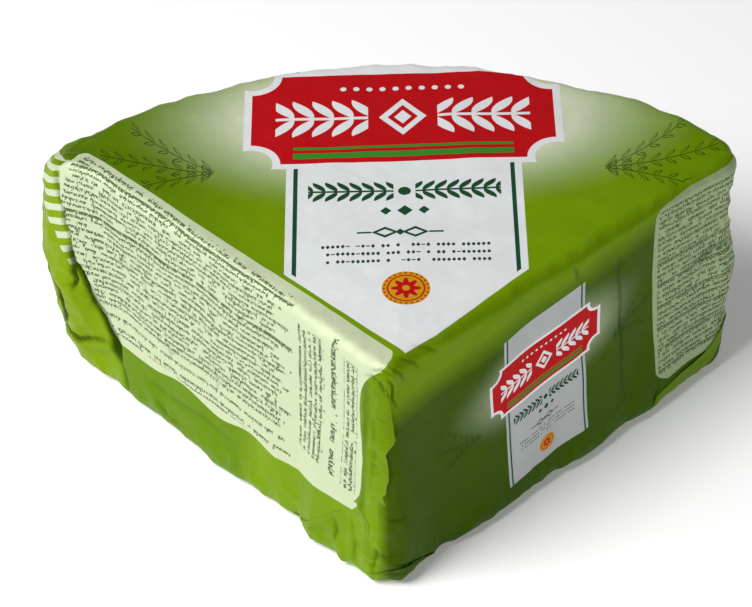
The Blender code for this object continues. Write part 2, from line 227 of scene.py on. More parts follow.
# Twigs beside the plaque: side, root and foot on the label's frame, then each stem's length, rise and bend
TWIG_ROOTS = ((-1.0, 55.0, 81.0), (1.0, 58.0, 79.0))
TWIG_STEMS = ((36.0, 4.0, 6.0), (27.0, 13.0, 9.0), (30.0, -3.0, -7.0))

# Sizes that the print repeats (mm)
SCREEN_PITCH = 0.88
CLOUD_SIZE = 60.0
BEAD_STEP = 1.45
BEAD_ROW_PITCH = 3.35
LEFT_ROW_PITCH = 2.15


def length_property(name, description, default, **limits):
    """A length in metres."""
    return bpy.props.FloatProperty(
        name=name, description=description, default=default, unit="LENGTH", subtype="DISTANCE", **limits,
    )


def angle_property(name, description, degrees, **limits):
    """An angle, whose default is given in degrees."""
    return bpy.props.FloatProperty(
        name=name, description=description, default=math.radians(degrees), subtype="ANGLE", **limits,
    )


def colour_property(name, description, default):
    """A colour of the print, as linear light."""
    return bpy.props.FloatVectorProperty(
        name=name, description=description, default=(*default, 1.0), size=4, min=0.0, max=1.0,
        subtype="COLOR",
    )


class WedgeSizes(bpy.types.PropertyGroup):
    """The wrapped wedge's sizes."""

    wheel_radius: length_property(
        "Wheel radius", "Radius of the wheel that the wedge is cut from", 0.141, min=0.05, max=0.3,
    )
    wedge_angle: angle_property("Wedge angle", "Angle between the two cut faces", 93.0, min=0.3, max=3.0)
    pack_height: length_property(
        "Pack height", "Height of the pack's flat top over the table", 0.0831, min=0.02, max=0.2,
    )
    nose_radius: length_property("Nose radius", "Rounding of the upright edge at the nose", 0.0052)
    left_corner_radius: length_property("Left corner radius", "Rounding of the left rear corner", 0.0095)
    right_corner_radius: length_property("Right corner radius", "Rounding of the right rear corner", 0.0066)
    top_edge_radius: length_property("Top edge radius", "Rounding of the edge round the top", 0.0043)
    base_edge_radius: length_property("Base edge radius", "Rounding of the edge round the base", 0.0052)
    base_layer: length_property("Base layer", "Thickness of the flap that the pack rests on", 0.0005)
    nose_place: bpy.props.FloatVectorProperty(
        name="Nose place", description="Where the two cut faces would meet, seen from above",
        default=(0.0034, -0.070), size=2, unit="LENGTH", subtype="XYZ_LENGTH",
    )
    foil_thickness: length_property("Foil thickness", "Thickness of a folded edge of the foil", 0.00026)
    columns: bpy.props.IntProperty(
        name="Columns", description="Points of the skin's mesh round the outline", default=700,
        min=64, max=900,
    )


class CrumpleSettings(bpy.types.PropertyGroup):
    """How rough the foil is."""

    seed: bpy.props.IntProperty(name="Seed", description="Start of the crumples' random draw", default=7)
    waves: length_property("Slow waves", "Height of the slow waves", 0.00034)
    wrinkles: length_property("Wrinkles", "Depth of the wrinkles on the flat faces", 0.00021)
    gathers: length_property("Gathers", "Depth of the crumples at the corners and the foot", 0.0008)


class PrintColours(bpy.types.PropertyGroup):
    """The inks of the printed foil; some of them also paint shade and highlights."""

    bright_green: colour_property("Bright green", "Lacquer of the left face", (0.215, 0.355, 0.006))
    rim_green: colour_property("Rim green", "Lacquer of the rim and its left end", (0.235, 0.355, 0.005))
    patch_green: colour_property("Patch green", "Patches folded up from the foot", (0.165, 0.29, 0.005))
    left_shade: colour_property("Left shade", "Darker patches of the left face", (0.140, 0.258, 0.005))
    # On the right face this green is a painted highlight in a band below the top edge.
    mid_green: colour_property("Mid green", "Lacquer of the top and the right face", (0.225, 0.385, 0.003))
    # This green, with shade_green, is also the painted shade of the right face and of the seam beside the
    # nose.
    deep_green: colour_property("Deep green", "Lacquer towards the rear of the top", (0.066, 0.138, 0.001))
    # This pale green is also the painted highlight on fold crests and on the sheets' free edges.
    glow: colour_property("Glow", "Pale green round the plaque", (0.80, 0.86, 0.64))
    panel: colour_property("Panel", "Pale field of the fine print", (0.60, 0.67, 0.45))
    label: colour_property("Label", "White of the label", (0.93, 0.94, 0.95))
    # The label's white painted darker, as painted shade of the right face.
    small_label: colour_property("Small label", "Label on the right face", (0.545, 0.565, 0.565))
    # The pale field's colour painted darker, as painted shade of the right face.
    right_panel: colour_property("Right panel", "Field at the right rear corner", (0.42, 0.52, 0.29))
    right_ink: colour_property("Right ink", "Fine print at the right rear corner", (0.11, 0.15, 0.065))
    # Dark green of the twigs, and the painted shade that a deep crease fades to.
    twig_ink_and_crease_shade: colour_property("Crease", "Dark green that a deep crease fades to", (0.010, 0.020, 0.002))
    # Painted shade of the right face, darkest low down; also the ink of the print's fine slanting lines.
    shade_green: colour_property("Shade green", "Deepest lacquer of the right face", (0.048, 0.095, 0.001))
    plaque: colour_property("Plaque", "Red of the plaque", (0.60, 0.008, 0.012))
    dark_ink: colour_property("Dark ink", "Dark green of the ornaments", (0.016, 0.085, 0.038))
    stripe: colour_property("Stripe", "Grass green of the bars", (0.045, 0.30, 0.03))
    fine_ink: colour_property("Fine ink", "Ink of the fine print", (0.11, 0.15, 0.075))
    gold: colour_property("Gold", "Disc on the label", (0.72, 0.36, 0.012))
    bare_foil: colour_property("Bare foil", "Unprinted side of the foil", (0.62, 0.63, 0.60))


class StudioSettings(bpy.types.PropertyGroup):
    """The camera, the lights and the floor."""

    azimuth: angle_property("Azimuth", "The camera's way round the wedge", 3.465)
    elevation: angle_property("Elevation", "The camera's angle over the table", 42.44)
    roll: angle_property("Roll", "The camera's turn about its own axis", -1.783)
    distance: length_property("Distance", "From the camera to what it looks at", 0.9694)
    target: bpy.props.FloatVectorProperty(
        name="Target", description="What the camera looks at", default=(-0.00544, 0.05019, -0.00036),
        subtype="XYZ_LENGTH",
    )
    lens: bpy.props.FloatProperty(
        name="Lens", description="Focal length", default=143.6, unit="CAMERA",
    )
    key_power: bpy.props.FloatProperty(
        name="Key power", description="Power of the soft light from the left", default=15.6, unit="POWER",
    )
    fill: bpy.props.FloatProperty(
        name="Fill", description="Strength of the white light all round", default=0.17, min=0.0,
    )


class Millimetres:
    """A property group whose lengths are read in millimetres."""

    def __init__(self, group):
        self.group = group

    def __getattr__(self, name):
        value = getattr(self.group, name)
        return [part / MM for part in value] if hasattr(value, "__len__") else value / MM


def bell(distance, spread):
    """exp(-(distance / spread)^2): 1 at the middle, falling smoothly to nothing over a few spreads."""
    return np.exp(-((distance / spread) ** 2))


def ramp(value, low, high):
    """t * t * (3 - 2 t) with t = (value - low) / (high - low) held between 0 and 1."""
    share = np.clip((value - low) / (high - low), 0.0, 1.0)
    return share * share * (3.0 - 2.0 * share)


def tent(distance, reach):
    """1 - distance / reach, held over nothing."""
    return np.maximum(1.0 - distance / reach, 0.0)


class Wedge:
    """The plain form of the wrapped wedge as functions of two parameters, in millimetres.

    The station u runs along the outline from the nose, positive over the right cut face and negative over
    the left one. The height v runs up the unrolled section: it is level + inset over the top edge, level on
    the wall, and level - inset under the base edge.
    """

    samples = 6000
    dish, dish_reach = 0.8, 43.0
    ripple, ripple_length = 0.4, 20.0
    droop, droop_at, droop_reach = 4.0, (-99.0, 35.5), 14.0
    middle_share = 0.58

    def __init__(self, sizes):
        measure = Millimetres(sizes)
        self.angle = sizes.wedge_angle
        self.radius = measure.wheel_radius
        self.height = measure.pack_height
        self.low = measure.base_layer
        self.top_edge = measure.top_edge_radius
        self.base_edge = measure.base_edge_radius
        self.nose = np.array(measure.nose_place)
        self.middle = self.nose + (0.0, self.middle_share * self.radius)
        self.trace(measure.nose_radius, measure.right_corner_radius, measure.left_corner_radius)

    def trace(self, nose, right, left):
        """The outline: a heading that turns only at the corners and along the rim, summed into points."""
        half = self.angle / 2.0
        nose_turn = math.pi / 2.0 - half
        lean = {corner: math.asin(corner / (self.radius - corner)) for corner in (right, left)}
        cut = {corner: math.sqrt((self.radius - corner) ** 2 - corner**2) for corner in (right, left)}
        start = nose / math.tan(half)
        rim_turn = self.angle - lean[right] - lean[left]
        corner_turn = {corner: math.pi / 2.0 + lean[corner] for corner in (right, left)}
        runs = (
            (nose * nose_turn, nose_turn), (cut[right] - start, 0.0),
            (right * corner_turn[right], corner_turn[right]), (self.radius * rim_turn, rim_turn),
            (left * corner_turn[left], corner_turn[left]), (cut[left] - start, 0.0),
            (nose * nose_turn, nose_turn),
        )
        ends = np.cumsum([0.0] + [length for length, _ in runs])
        headings = np.cumsum([0.0] + [turn for _, turn in runs])
        self.length = float(ends[-1])
        self.station = np.linspace(0.0, self.length, self.samples + 1)
        self.heading = np.interp(self.station, ends, headings)
        middle = (self.heading[1:] + self.heading[:-1]) / 2.0
        step = self.length / self.samples
        tip = nose / math.sin(half) - nose
        self.x = self.nose[0] + np.concatenate([[0.0], np.cumsum(np.cos(middle) * step)])
        self.y = self.nose[1] + tip + np.concatenate([[0.0], np.cumsum(np.sin(middle) * step)])

    def at(self, u):
        """Points of the outline and its outward normals (sin heading, -cos heading) at stations u."""
        wrapped = np.mod(u, self.length)
        heading = np.interp(wrapped, self.station, self.heading)
        plan = np.stack([np.interp(wrapped, self.station, axis) for axis in (self.x, self.y)], axis=-1)
        return plan, np.stack([np.sin(heading), -np.cos(heading)], axis=-1)

    def push(self, u, level):
        """How far the wall stands out: the foot's spread * (1 - level / height)^fall, bulges and waves."""
        foot_u, foot_push = np.array(FOOT_SPREAD).T
        foot = np.interp(u, foot_u, foot_push, period=self.length)
        push = foot * np.clip(1.0 - level / self.height, 0.0, 1.0) ** SPREAD_FALL
        for at_u, up, along, tall, out in WALL_BULGES:
            apart = u - at_u
            apart = apart - self.length * np.round(apart / self.length)
            push = push + out * bell(apart, along) * bell(level - up, tall)
        for waves, phase, out, lean in WALL_WAVES:
            push = push + out * np.sin(2.0 * math.pi * waves * u / self.length + phase + lean * level)
        return push

    def sag(self, plan):
        """The top's ripple across, its dish in the middle and its droop at the left rear corner."""
        away = np.linalg.norm(plan - self.middle, axis=-1)
        droop = bell(np.linalg.norm(plan - np.array(self.droop_at), axis=-1), self.droop_reach)
        ripple = self.ripple * np.sin(plan[..., 0] / self.ripple_length + 1.0)
        return ripple - self.dish * bell(away, self.dish_reach) - self.droop * droop

    def section(self, v):
        """Inset, level, and the skin's outward direction as (flat, rise), at unrolled heights v.

        Over the top edge v = height + r (cos a - sin a) with a from 0 on the top to 90 degrees on the wall,
        so a = acos((v - height) / (r sqrt 2)) - 45 degrees. The base edge is the same, upside down.
        """
        limit = 1.0 / ROOT_TWO
        over = np.clip((v - self.height) / (self.top_edge * ROOT_TWO), -limit, limit)
        under = np.clip((v - self.low) / (self.base_edge * ROOT_TWO), -limit, limit)
        top = np.arccos(over) - math.pi / 4.0
        base = np.arccos(under) - math.pi / 4.0
        inset = self.top_edge * (1.0 - np.sin(top)) + self.base_edge * (1.0 - np.cos(base))
        inset = inset + np.maximum(v - self.height - self.top_edge, 0.0)
        inset = inset + np.maximum(self.low - self.base_edge - v, 0.0)
        wall = np.clip(v, self.low + self.base_edge, self.height - self.top_edge)
        level = wall + self.top_edge * np.cos(top) - self.base_edge * np.sin(base)
        return inset, level, np.sin(top) * np.cos(base), np.cos(top) - np.sin(base)

    def skin(self, u, v):
        """Points of the skin, plan + normal * (push - inset) at the section's level, and its directions."""
        inset, level, flat, rise = self.section(v)
        plan, normal = self.at(u)
        ring = plan + normal * (self.push(u, level) - inset)[..., None]
        level = level + self.sag(ring) * ramp(level, self.height - 3.0 * self.top_edge, self.height)
        outward = np.concatenate([normal * flat[..., None], rise[..., None]], axis=-1)
        return np.concatenate([ring, level[..., None]], axis=-1), outward

    def unrolled_top(self, u, plan):
        """(station, v) of points on the top, by the nearest of the two cuts and the rim.

        With x and y from the nose and a half the wedge's angle, a cut's distance is y sin a -+ x cos a, and
        the station on it is x sin a +- y cos a. On the rim it is half the length - radius * the angle from
        the middle. v is the height + the least distance.
        """
        across, along = (plan - self.nose)[..., 0], (plan - self.nose)[..., 1]
        cosine, sine = math.cos(self.angle / 2.0), math.sin(self.angle / 2.0)
        left, right = across * cosine + along * sine, -across * cosine + along * sine
        rim = self.radius - np.hypot(across, along)
        nearest = np.argmin(np.stack([left, right, rim]), axis=0)
        left_u = across * sine - along * cosine
        right_u = across * sine + along * cosine
        rim_u = np.sign(u) * (self.length / 2.0 - self.radius * np.abs(np.arctan2(across, along)))
        station = np.choose(nearest, [left_u, right_u, rim_u])
        return station, self.height + np.minimum(np.minimum(left, right), rim)


class Crumple:
    """Seeded smooth noise: random heights on a cubic lattice, blended smoothly between its corners."""

    side = 32

    def __init__(self, seed):
        self.lattice = np.random.default_rng(seed).uniform(-1.0, 1.0, (self.side,) * 3)

    def noise(self, points, cell, shift=0.0):
        """Sum over a cell's eight corners of their heights times the smooth share of each."""
        place = points / np.array(cell) + shift
        corner = np.floor(place).astype(int)
        share = place - corner
        share = share * share * (3.0 - 2.0 * share)
        total = 0.0
        for step in itertools.product((0, 1), repeat=3):
            weight = np.prod(np.where(np.array(step), share, 1.0 - share), axis=-1)
            index = (corner + np.array(step)) % self.side
            total = total + weight * self.lattice[index[..., 0], index[..., 1], index[..., 2]]
        return total

    def folds(self, points, cell, shift=0.0):
        """1 - 3 |noise|, held over -1: sharp ridges where the noise passes through nothing."""
        return np.maximum(1.0 - 3.0 * np.abs(self.noise(points, cell, shift)), -1.0)


def distance_to(line, u, v):
    """Least distance from (u, v) to a bent line, and how far along it that is, from 0 to 1."""
    nearest = np.full(np.shape(u), np.inf)
    reached = np.zeros(np.shape(u))
    pieces = len(line) - 1
    for place, ((u0, v0), (u1, v1)) in enumerate(zip(line, line[1:])):
        du, dv = u1 - u0, v1 - v0
        share = np.clip(((u - u0) * du + (v - v0) * dv) / (du * du + dv * dv), 0.0, 1.0)
        away = np.hypot(u - u0 - share * du, v - v0 - share * dv)
        reached = np.where(away < nearest, (place + share) / pieces, reached)
        nearest = np.minimum(nearest, away)
    return nearest, reached


def along_lines(lines, u, v, profile, spread):
    """Sum over bent lines of size * profile(distance, width) * sqrt(sin(pi * way along)), to fade their ends.

    Each line is worked out only at the points that lie within spread * width of its box.
    """
    total = np.zeros(np.shape(u))
    for line, size, width in lines:
        reach = spread * width
        low, high = np.min(line, axis=0) - reach, np.max(line, axis=0) + reach
        near = (u > low[0]) & (u < high[0]) & (v > low[1]) & (v < high[1])
        away, along = distance_to(line, u[near], v[near])
        fade = np.sqrt(np.clip(np.sin(math.pi * np.clip(along, 0.02, 0.98)), 0.0, 1.0))
        total[near] += size * profile(away, width) * fade
    return total


class Foil:
    """The crumpled skin: the plain wedge plus a relief along its outward direction."""

    # Crease depth (mm) at which the painted shade in a crease is darkest
    darkest = 0.7
    lip_ripple, lip_ripple_length = 0.17, 1.55

    def __init__(self, wedge, settings):
        self.wedge = wedge
        self.crumple = Crumple(settings.seed)
        measure = Millimetres(settings)
        self.waves, self.wrinkles, self.gathers = measure.waves, measure.wrinkles, measure.gathers

    def roughness(self, u, v):
        """Where the foil is gathered: strongest at the nose, the rear corners, the foot and the top edge."""
        wedge = self.wedge
        wall = ramp(v, wedge.height + 9.0, wedge.height - 1.0)
        nose = 0.75 * bell(u + 4.0, 6.0) * (0.5 + 0.5 * ramp(v, 40.0, 10.0))
        left = bell(u + 138.0, 13.0)
        right = 0.55 * bell(u - 139.0, 7.0)
        foot = 0.55 * ramp(v, 17.0, 1.0)
        edge = 0.16 * bell(v - wedge.height, 5.0)
        rim = 0.35 * ramp(np.abs(u), 150.0, 165.0)
        foot_left = 0.4 * bell(u + 60.0, 70.0) * ramp(v, 20.0, 6.0)
        return 0.07 + wall * np.maximum.reduce([nose, left, right, foot + foot_left, rim]) + edge

    def creases(self, u, v):
        """Each crease goes down by depth * exp(-(distance / width)^2), and fades at its ends."""
        return -along_lines(CREASES, u, v, bell, 4.0)

    def pleats(self, u, v):
        """Each pleat stands out by height * (1 - distance / reach), and fades at its ends."""
        return along_lines(PLEATS, u, v, tent, 1.0)

    def ripples(self, u, v, points):
        """Fine ripples across the sheet at the nose: a sine up it, broken up by noise, faded at both ends."""
        phase = v + 0.4 * u + 1.2 * self.crumple.noise(points, 6.0, 2.2)
        wave = np.sin(phase * 2.0 * math.pi / self.lip_ripple_length)
        patchy = np.clip(0.55 + self.crumple.noise(points, 9.0, 8.8), 0.0, 1.0)
        return self.lip_ripple * wave * patchy * ramp(v, 38.0, 46.0) * ramp(v, 83.0, 77.0)

    def relief(self, u, v, points):
        """waves * noise + wrinkles * folds + gathers * roughness * folds + pleats + creases.

        All of it is lower on the base.
        """
        crumple = self.crumple
        slow = crumple.noise(points, 27.0) + 0.45 * crumple.noise(points, 12.0, 3.3)
        fine = 0.6 * crumple.folds(points, (19.0, 19.0, 26.0), 9.1) + 0.5 * crumple.noise(points, 6.1, 5.7)
        rough = self.roughness(u, v)
        gather = 0.55 * crumple.folds(points, (9.0, 9.0, 15.0), 1.7) + 0.40 * crumple.folds(points, 5.2, 12.3)
        gather = gather + 0.30 * crumple.noise(points, 2.7, 20.9)
        height = self.waves * slow + self.wrinkles * fine + self.gathers * rough * gather
        on_base = ramp(v, self.wedge.low, self.wedge.low - self.wedge.base_edge)
        return (height + self.pleats(u, v) + self.creases(u, v)) * (1.0 - 0.85 * on_base)

    def painted_sheen_and_shade(self, u, v, points):
        """Painted highlight over 0 where the small folds stand highest, and painted shade under 0 by the
        creases' depth.
        """
        ridge = ramp(self.crumple.folds(points, 5.2, 12.3), 0.55, 1.0)
        dark = np.clip(-self.creases(u, v) / self.darkest, 0.0, 1.0) * ramp(np.abs(u), 141.0, 139.0)
        return np.clip(ridge * self.roughness(u, v), 0.0, 1.0) * (1.0 - dark) - dark


def grid_quads(rows, columns, wrap=False, start=0):
    """Corners of the quads between neighbouring rows of a grid stored row by row."""
    index = start + np.arange(rows * columns).reshape(rows, columns)
    if wrap:
        index = np.hstack([index, index[:, :1]])
    corners = [index[:-1, :-1], index[1:, :-1], index[1:, 1:], index[:-1, 1:]]
    return np.stack(corners, axis=-1).reshape(-1, 4)


def closed_sheet(rows, columns):
    """Quads of a thin sheet whose two sides are grids stored one after the other, with its border closed."""
    under = rows * columns
    index = np.arange(under).reshape(rows, columns)
    ring = np.concatenate([index[0], index[1:, -1], index[-1, -2::-1], index[-2:0:-1, 0]])
    after = np.roll(ring, -1)
    border = np.stack([ring, under + ring, under + after, after], axis=-1)
    return np.vstack([grid_quads(rows, columns), grid_quads(rows, columns, start=under)[:, ::-1], border])


def enclosed(points, faces):
    """Volume inside a closed mesh, a sixth of the sum of triple products, positive when faces point out."""
    total = 0.0
    for corners in faces:
        first = points[corners[:, 0]]
        for side in range(1, corners.shape[1] - 1):
            pair = np.cross(points[corners[:, side]], points[corners[:, side + 1]])
            total += float(np.sum(first * pair)) / 6.0
    return total


def foil_object(name, points, faces, places, painted_light_bare_layer, sharp_angle):
    """A piece of foil from points (mm), faces in groups of like size, its print map and its values of painted
    light, bare side and layer.

    places gives (u, v) in mm for every corner of every face, and becomes the print map in metres. The values
    after it give each point's painted light, from a painted highlight at 1 to painted shade in a crease at
    -1, then its bare side and its layer.
    """
    if enclosed(points, faces) < 0.0:
        faces = [corners[:, ::-1] for corners in faces]
        places = [corners[:, ::-1] for corners in places]
    loops = np.concatenate([corners.ravel() for corners in faces])
    sizes = np.concatenate([np.full(len(corners), corners.shape[1]) for corners in faces])
    mesh = bpy.data.meshes.new(name)
    mesh.vertices.add(len(points))
    mesh.vertices.foreach_set("co", (points * MM).ravel())
    mesh.loops.add(len(loops))
    mesh.loops.foreach_set("vertex_index", loops)
    mesh.polygons.add(len(sizes))
    mesh.polygons.foreach_set("loop_start", np.cumsum(sizes) - sizes)
    mesh.polygons.foreach_set("loop_total", sizes)
    mesh.update(calc_edges=True)
    mesh.validate()
    print_map = mesh.uv_layers.new(name="print")
    print_map.data.foreach_set("uv", np.concatenate([place.reshape(-1, 2) for place in places]).ravel() * MM)
    values = mesh.attributes.new("painted_light_bare_layer", "FLOAT_VECTOR", "POINT")
    values.data.foreach_set("vector", painted_light_bare_layer.ravel())
    mesh.shade_smooth()
    mesh.set_sharp_from_angle(angle=sharp_angle)
    piece = bpy.data.objects.new(name, mesh)
    bpy.context.scene.collection.objects.link(piece)
    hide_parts(SOLID)
    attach(piece, BODY)
    return piece


class FoilSkin:
    """The closed skin as a grid: rows from the middle of the top down the wall to the base's middle."""

    top_rows, edge_rows, wall_rows, foot_rows, base_rows = 36, 11, 76, 9, 6
    corner_weight = 9.0
    rim_saving = 0.45
    lowest = 0.25
    sharp_angle = math.radians(55.0)
    # Where columns stand closer: station, reach, how much closer
    crowded = ((-3.0, 12.0, 1.3), (-136.0, 16.0, 1.0), (139.0, 9.0, 0.9), (-20.0, 30.0, 0.4))

    def __init__(self, foil, columns):
        self.foil, self.wedge, self.columns = foil, foil.wedge, columns

    def stations(self):
        """Stations of the columns from the middle of the rim round to it, closer at corners and folds."""
        wedge = self.wedge
        u = np.linspace(-wedge.length / 2.0, wedge.length / 2.0, wedge.samples + 1)
        heading = np.interp(np.mod(u, wedge.length), wedge.station, wedge.heading)
        turn = np.abs(np.gradient(np.unwrap(heading, period=2.0 * math.pi)))
        weight = np.gradient(u) * (1.0 + sum(more * bell(u - at, reach) for at, reach, more in self.crowded))
        weight = weight * (1.0 - self.rim_saving * ramp(np.abs(u), 150.0, 175.0))
        weight = weight + self.corner_weight * turn
        total = np.cumsum(weight) - weight[0]
        return np.interp(np.linspace(0.0, total[-1], self.columns, endpoint=False), total, u)

    def rows(self):
        """The unrolled heights of the rows over the edges and the wall."""
        wedge = self.wedge
        top, base = wedge.height - wedge.top_edge, wedge.low + wedge.base_edge
        edge = np.linspace(wedge.height + wedge.top_edge, top, self.edge_rows, endpoint=False)
        wall = np.linspace(top, base, self.wall_rows, endpoint=False)
        foot = np.linspace(base, wedge.low - wedge.base_edge, self.foot_rows)
        return np.concatenate([edge, wall, foot])

    def plain(self):
        """Points, directions and (u, v) of the whole grid before it is crumpled.

        A ring of the top or the base is the ring at its edge moved towards the wedge's middle by a share.
        """
        wedge = self.wedge
        stations = self.stations()
        u, v = np.meshgrid(stations, self.rows())
        points, outward = wedge.skin(u, v)
        inwards = (1.0 - np.linspace(0.0, 1.0, self.top_rows + 1)[1:-1])[:, None, None]
        middle = np.array([*wedge.middle, wedge.height])
        plan = points[0, :, :2] + (middle[:2] - points[0, :, :2]) * inwards
        level = wedge.height + wedge.sag(plan)
        top = np.concatenate([plan, level[..., None]], axis=-1)
        top_u, top_v = wedge.unrolled_top(np.broadcast_to(stations, level.shape), plan)
        outwards = np.linspace(0.0, 1.0, self.base_rows + 1)[1:-1][:, None, None]
        base_middle = np.array([*wedge.middle, wedge.low])
        base = points[-1] + (base_middle - points[-1]) * outwards
        base_u = np.broadcast_to(stations, base.shape[:2])
        base_v = wedge.low - np.linalg.norm(base[..., :2] - points[0, :, :2], axis=-1) - wedge.base_edge
        up = np.broadcast_to([0.0, 0.0, 1.0], top.shape)
        down = np.broadcast_to([0.0, 0.0, -1.0], base.shape)
        return (
            np.concatenate([top, points, base]), np.concatenate([up, outward, down]),
            np.concatenate([top_u, u, base_u]), np.concatenate([top_v, v, base_v]),
        )

    def build(self, name):
        """The mesh: quads between the rings and a fan of triangles at each middle."""
        wedge = self.wedge
        points, outward, u, v = self.plain()
        points = points + outward * self.foil.relief(u, v, points)[..., None]
        points[..., 2] = np.maximum(points[..., 2], self.lowest)
        rows, columns = u.shape
        # Painted highlight on fold crests and painted shade in creases; the skin has no bare side and no
        # layer
        sheen_and_shade = self.foil.painted_sheen_and_shade(u, v, points)
        painted_light_bare_layer = np.stack([sheen_and_shade, np.zeros_like(sheen_and_shade), np.zeros_like(sheen_and_shade)], axis=-1).reshape(-1, 3)
        top = np.mean(points[0], axis=0)
        base = np.array([*wedge.middle, np.mean(points[-1, :, 2])])
        quads = grid_quads(rows, columns, wrap=True)
        here = np.arange(columns)
        beside = (here + 1) % columns
        last = (rows - 1) * columns
        top_fan = np.stack([np.full(columns, rows * columns), here, beside], axis=-1)
        base_fan = np.stack([np.full(columns, rows * columns + 1), last + beside, last + here], axis=-1)
        wide_u = np.hstack([u, u[:, :1] + wedge.length])
        wide_v = np.hstack([v, v[:, :1]])
        places = np.stack([wide_u, wide_v], axis=-1).reshape(-1, 2)[grid_quads(rows, columns + 1)]
        fans = [np.full((columns, 3, 2), level) for level in (v[0].min(), v[-1].min())]
        all_points = np.vstack([points.reshape(-1, 3), top, base])
        all_painted_light_bare_layer = np.vstack([painted_light_bare_layer, np.zeros((2, 3))])
        faces = [quads, top_fan, base_fan]
        return foil_object(name, all_points, faces, [places, *fans], all_painted_light_bare_layer, self.sharp_angle)


def resample(line, count):
    """Points spread evenly along a bent line."""
    line = np.array(line)
    reach = np.concatenate([[0.0], np.cumsum(np.linalg.norm(np.diff(line, axis=0), axis=1))])
    want = np.linspace(0.0, reach[-1], count)
    return np.stack([np.interp(want, reach, axis) for axis in line.T], axis=-1)


class FoldedSheet:
    """A thin closed sheet of foil over the skin, from a hidden border to a free edge that stands proud.

    Its points are (1 - w) * hidden border + w * free edge in (u, v), with w from 0 to 1. Its height over the
    skin is sunk * (1 - w)^sink_fall + (lift + flutter * noise) * w^2 + edge_rise * w, with its middle part
    faded at both ends, and its inner side is a foil's thickness below. It spans the skin's deep creases,
    following none of them further down than the deepest.
    """

    sunk, sink_fall = -0.45, 1.2
    edge_rise = 0.12
    end_drop, taper = 0.25, 0.16
    flutter, flutter_cell = 0.25, 7.5
    deepest = 0.4
    ragged, ragged_cell = 0.35, 2.6
    # How much lighter the free edge is painted, as a highlight
    edge_sheen = 0.35
    least_along, least_across, stretch = 12, 8, 1.1
    lowest = 0.05
    sharp_angle = math.radians(40.0)

    def __init__(self, foil, thickness, shift):
        self.foil, self.thickness, self.shift = foil, thickness, shift

    def plan(self, free, hidden, fineness):
        """(u, v) of the grid, and the shares t along the free edge and w out towards it, which is ragged."""
        length = float(np.sum(np.linalg.norm(np.diff(np.array(free), axis=0), axis=1)))
        along = max(self.least_along, int(length / fineness))
        edge, border = resample(free, along), resample(hidden, along)
        reach = np.linalg.norm(edge - border, axis=1)
        across = max(self.least_across, int(float(np.mean(reach)) / (fineness * self.stretch)))
        w = np.linspace(0.0, 1.0, across)[None, :, None]
        seat = np.stack([np.full(along, self.shift), np.arange(along) * fineness, np.zeros(along)], axis=-1)
        rag = self.ragged * self.foil.crumple.noise(seat, self.ragged_cell, 0.5)[:, None, None]
        away = (edge - border) / reach[:, None]
        place = border[:, None] * (1.0 - w) + edge[:, None] * w + away[:, None] * rag * w**3
        return place, np.linspace(0.0, 1.0, along)[:, None], w[..., 0]

    def build(self, name, free, hidden, lift, layer, fineness, rippled):
        """The mesh: the grid at the sheet's outer height and again at its inner one, closed at the border."""
        place, t, w = self.plan(free, hidden, fineness)
        u, v = place[..., 0], place[..., 1]
        points, outward = self.foil.wedge.skin(u, v)
        bridged = np.minimum(self.foil.creases(u, v) + self.deepest, 0.0)
        relief = self.foil.relief(u, v, points) - bridged
        if rippled:
            relief = relief + self.foil.ripples(u, v, points)
        ends = ramp(t, 0.0, self.taper) * ramp(t, 1.0, 1.0 - self.taper)
        wave = self.foil.crumple.noise(points, self.flutter_cell, self.shift) * self.flutter * w**2
        lifted = np.interp(t, np.linspace(0.0, 1.0, len(lift)), lift)
        over = self.sunk * (1.0 - w) ** self.sink_fall + (lifted * w**2 + wave) * ends
        over = over + self.edge_rise * w - (1.0 - ends) * self.end_drop
        outer = points + outward * (relief + over)[..., None]
        inner = points + outward * (relief + over - self.thickness)[..., None]
        outer[..., 2] = np.maximum(outer[..., 2], self.lowest + self.thickness)
        inner[..., 2] = np.maximum(inner[..., 2], self.lowest)
        quads = closed_sheet(*u.shape)
        places = np.tile(place.reshape(-1, 2), (2, 1))[quads]
        # Painted highlight on fold crests and along the free edge, and painted shade in creases
        sheen_and_shade = self.foil.painted_sheen_and_shade(u, v, points) + self.edge_sheen * ramp(w, 0.93, 1.0) * np.ones_like(t)
        none, layers = np.zeros_like(sheen_and_shade), np.full_like(sheen_and_shade, layer)
        bare = np.where(w < 1.0, np.ones_like(sheen_and_shade), 0.0)
        sides = (np.stack([sheen_and_shade, none, layers], axis=-1), np.stack([none, bare, layers], axis=-1))
        painted_light_bare_layer = np.vstack([side.reshape(-1, 3) for side in sides])
        all_points = np.vstack([outer.reshape(-1, 3), inner.reshape(-1, 3)])
        return foil_object(name, all_points, [quads], [places], painted_light_bare_layer, self.sharp_angle)


def maths_operator(operation, reflected=False):
    """A method that adds a Math node on a wire and another number, which comes first where reflected."""

    def method(self, other):
        pair = (other, self) if reflected else (self, other)
        return self.recipe.maths(operation, *pair)

    return method


class Wire:
    """One number in a shader. Python's operators on it add the Math nodes that work it out."""

    __add__ = __radd__ = maths_operator("ADD")
    __sub__ = maths_operator("SUBTRACT")
    __rsub__ = maths_operator("SUBTRACT", reflected=True)
    __mul__ = __rmul__ = maths_operator("MULTIPLY")
    __truediv__ = maths_operator("DIVIDE")
    __rtruediv__ = maths_operator("DIVIDE", reflected=True)
    __mod__ = maths_operator("FLOORED_MODULO")
    __lt__ = maths_operator("LESS_THAN")
    __gt__ = maths_operator("GREATER_THAN")
    __and__ = __rand__ = maths_operator("MINIMUM")
    __or__ = __ror__ = maths_operator("MAXIMUM")

    def __init__(self, recipe, socket):
        self.recipe, self.socket = recipe, socket

    def __neg__(self):
        return self * -1.0

    def __abs__(self):
        return self.recipe.maths("ABSOLUTE", self)


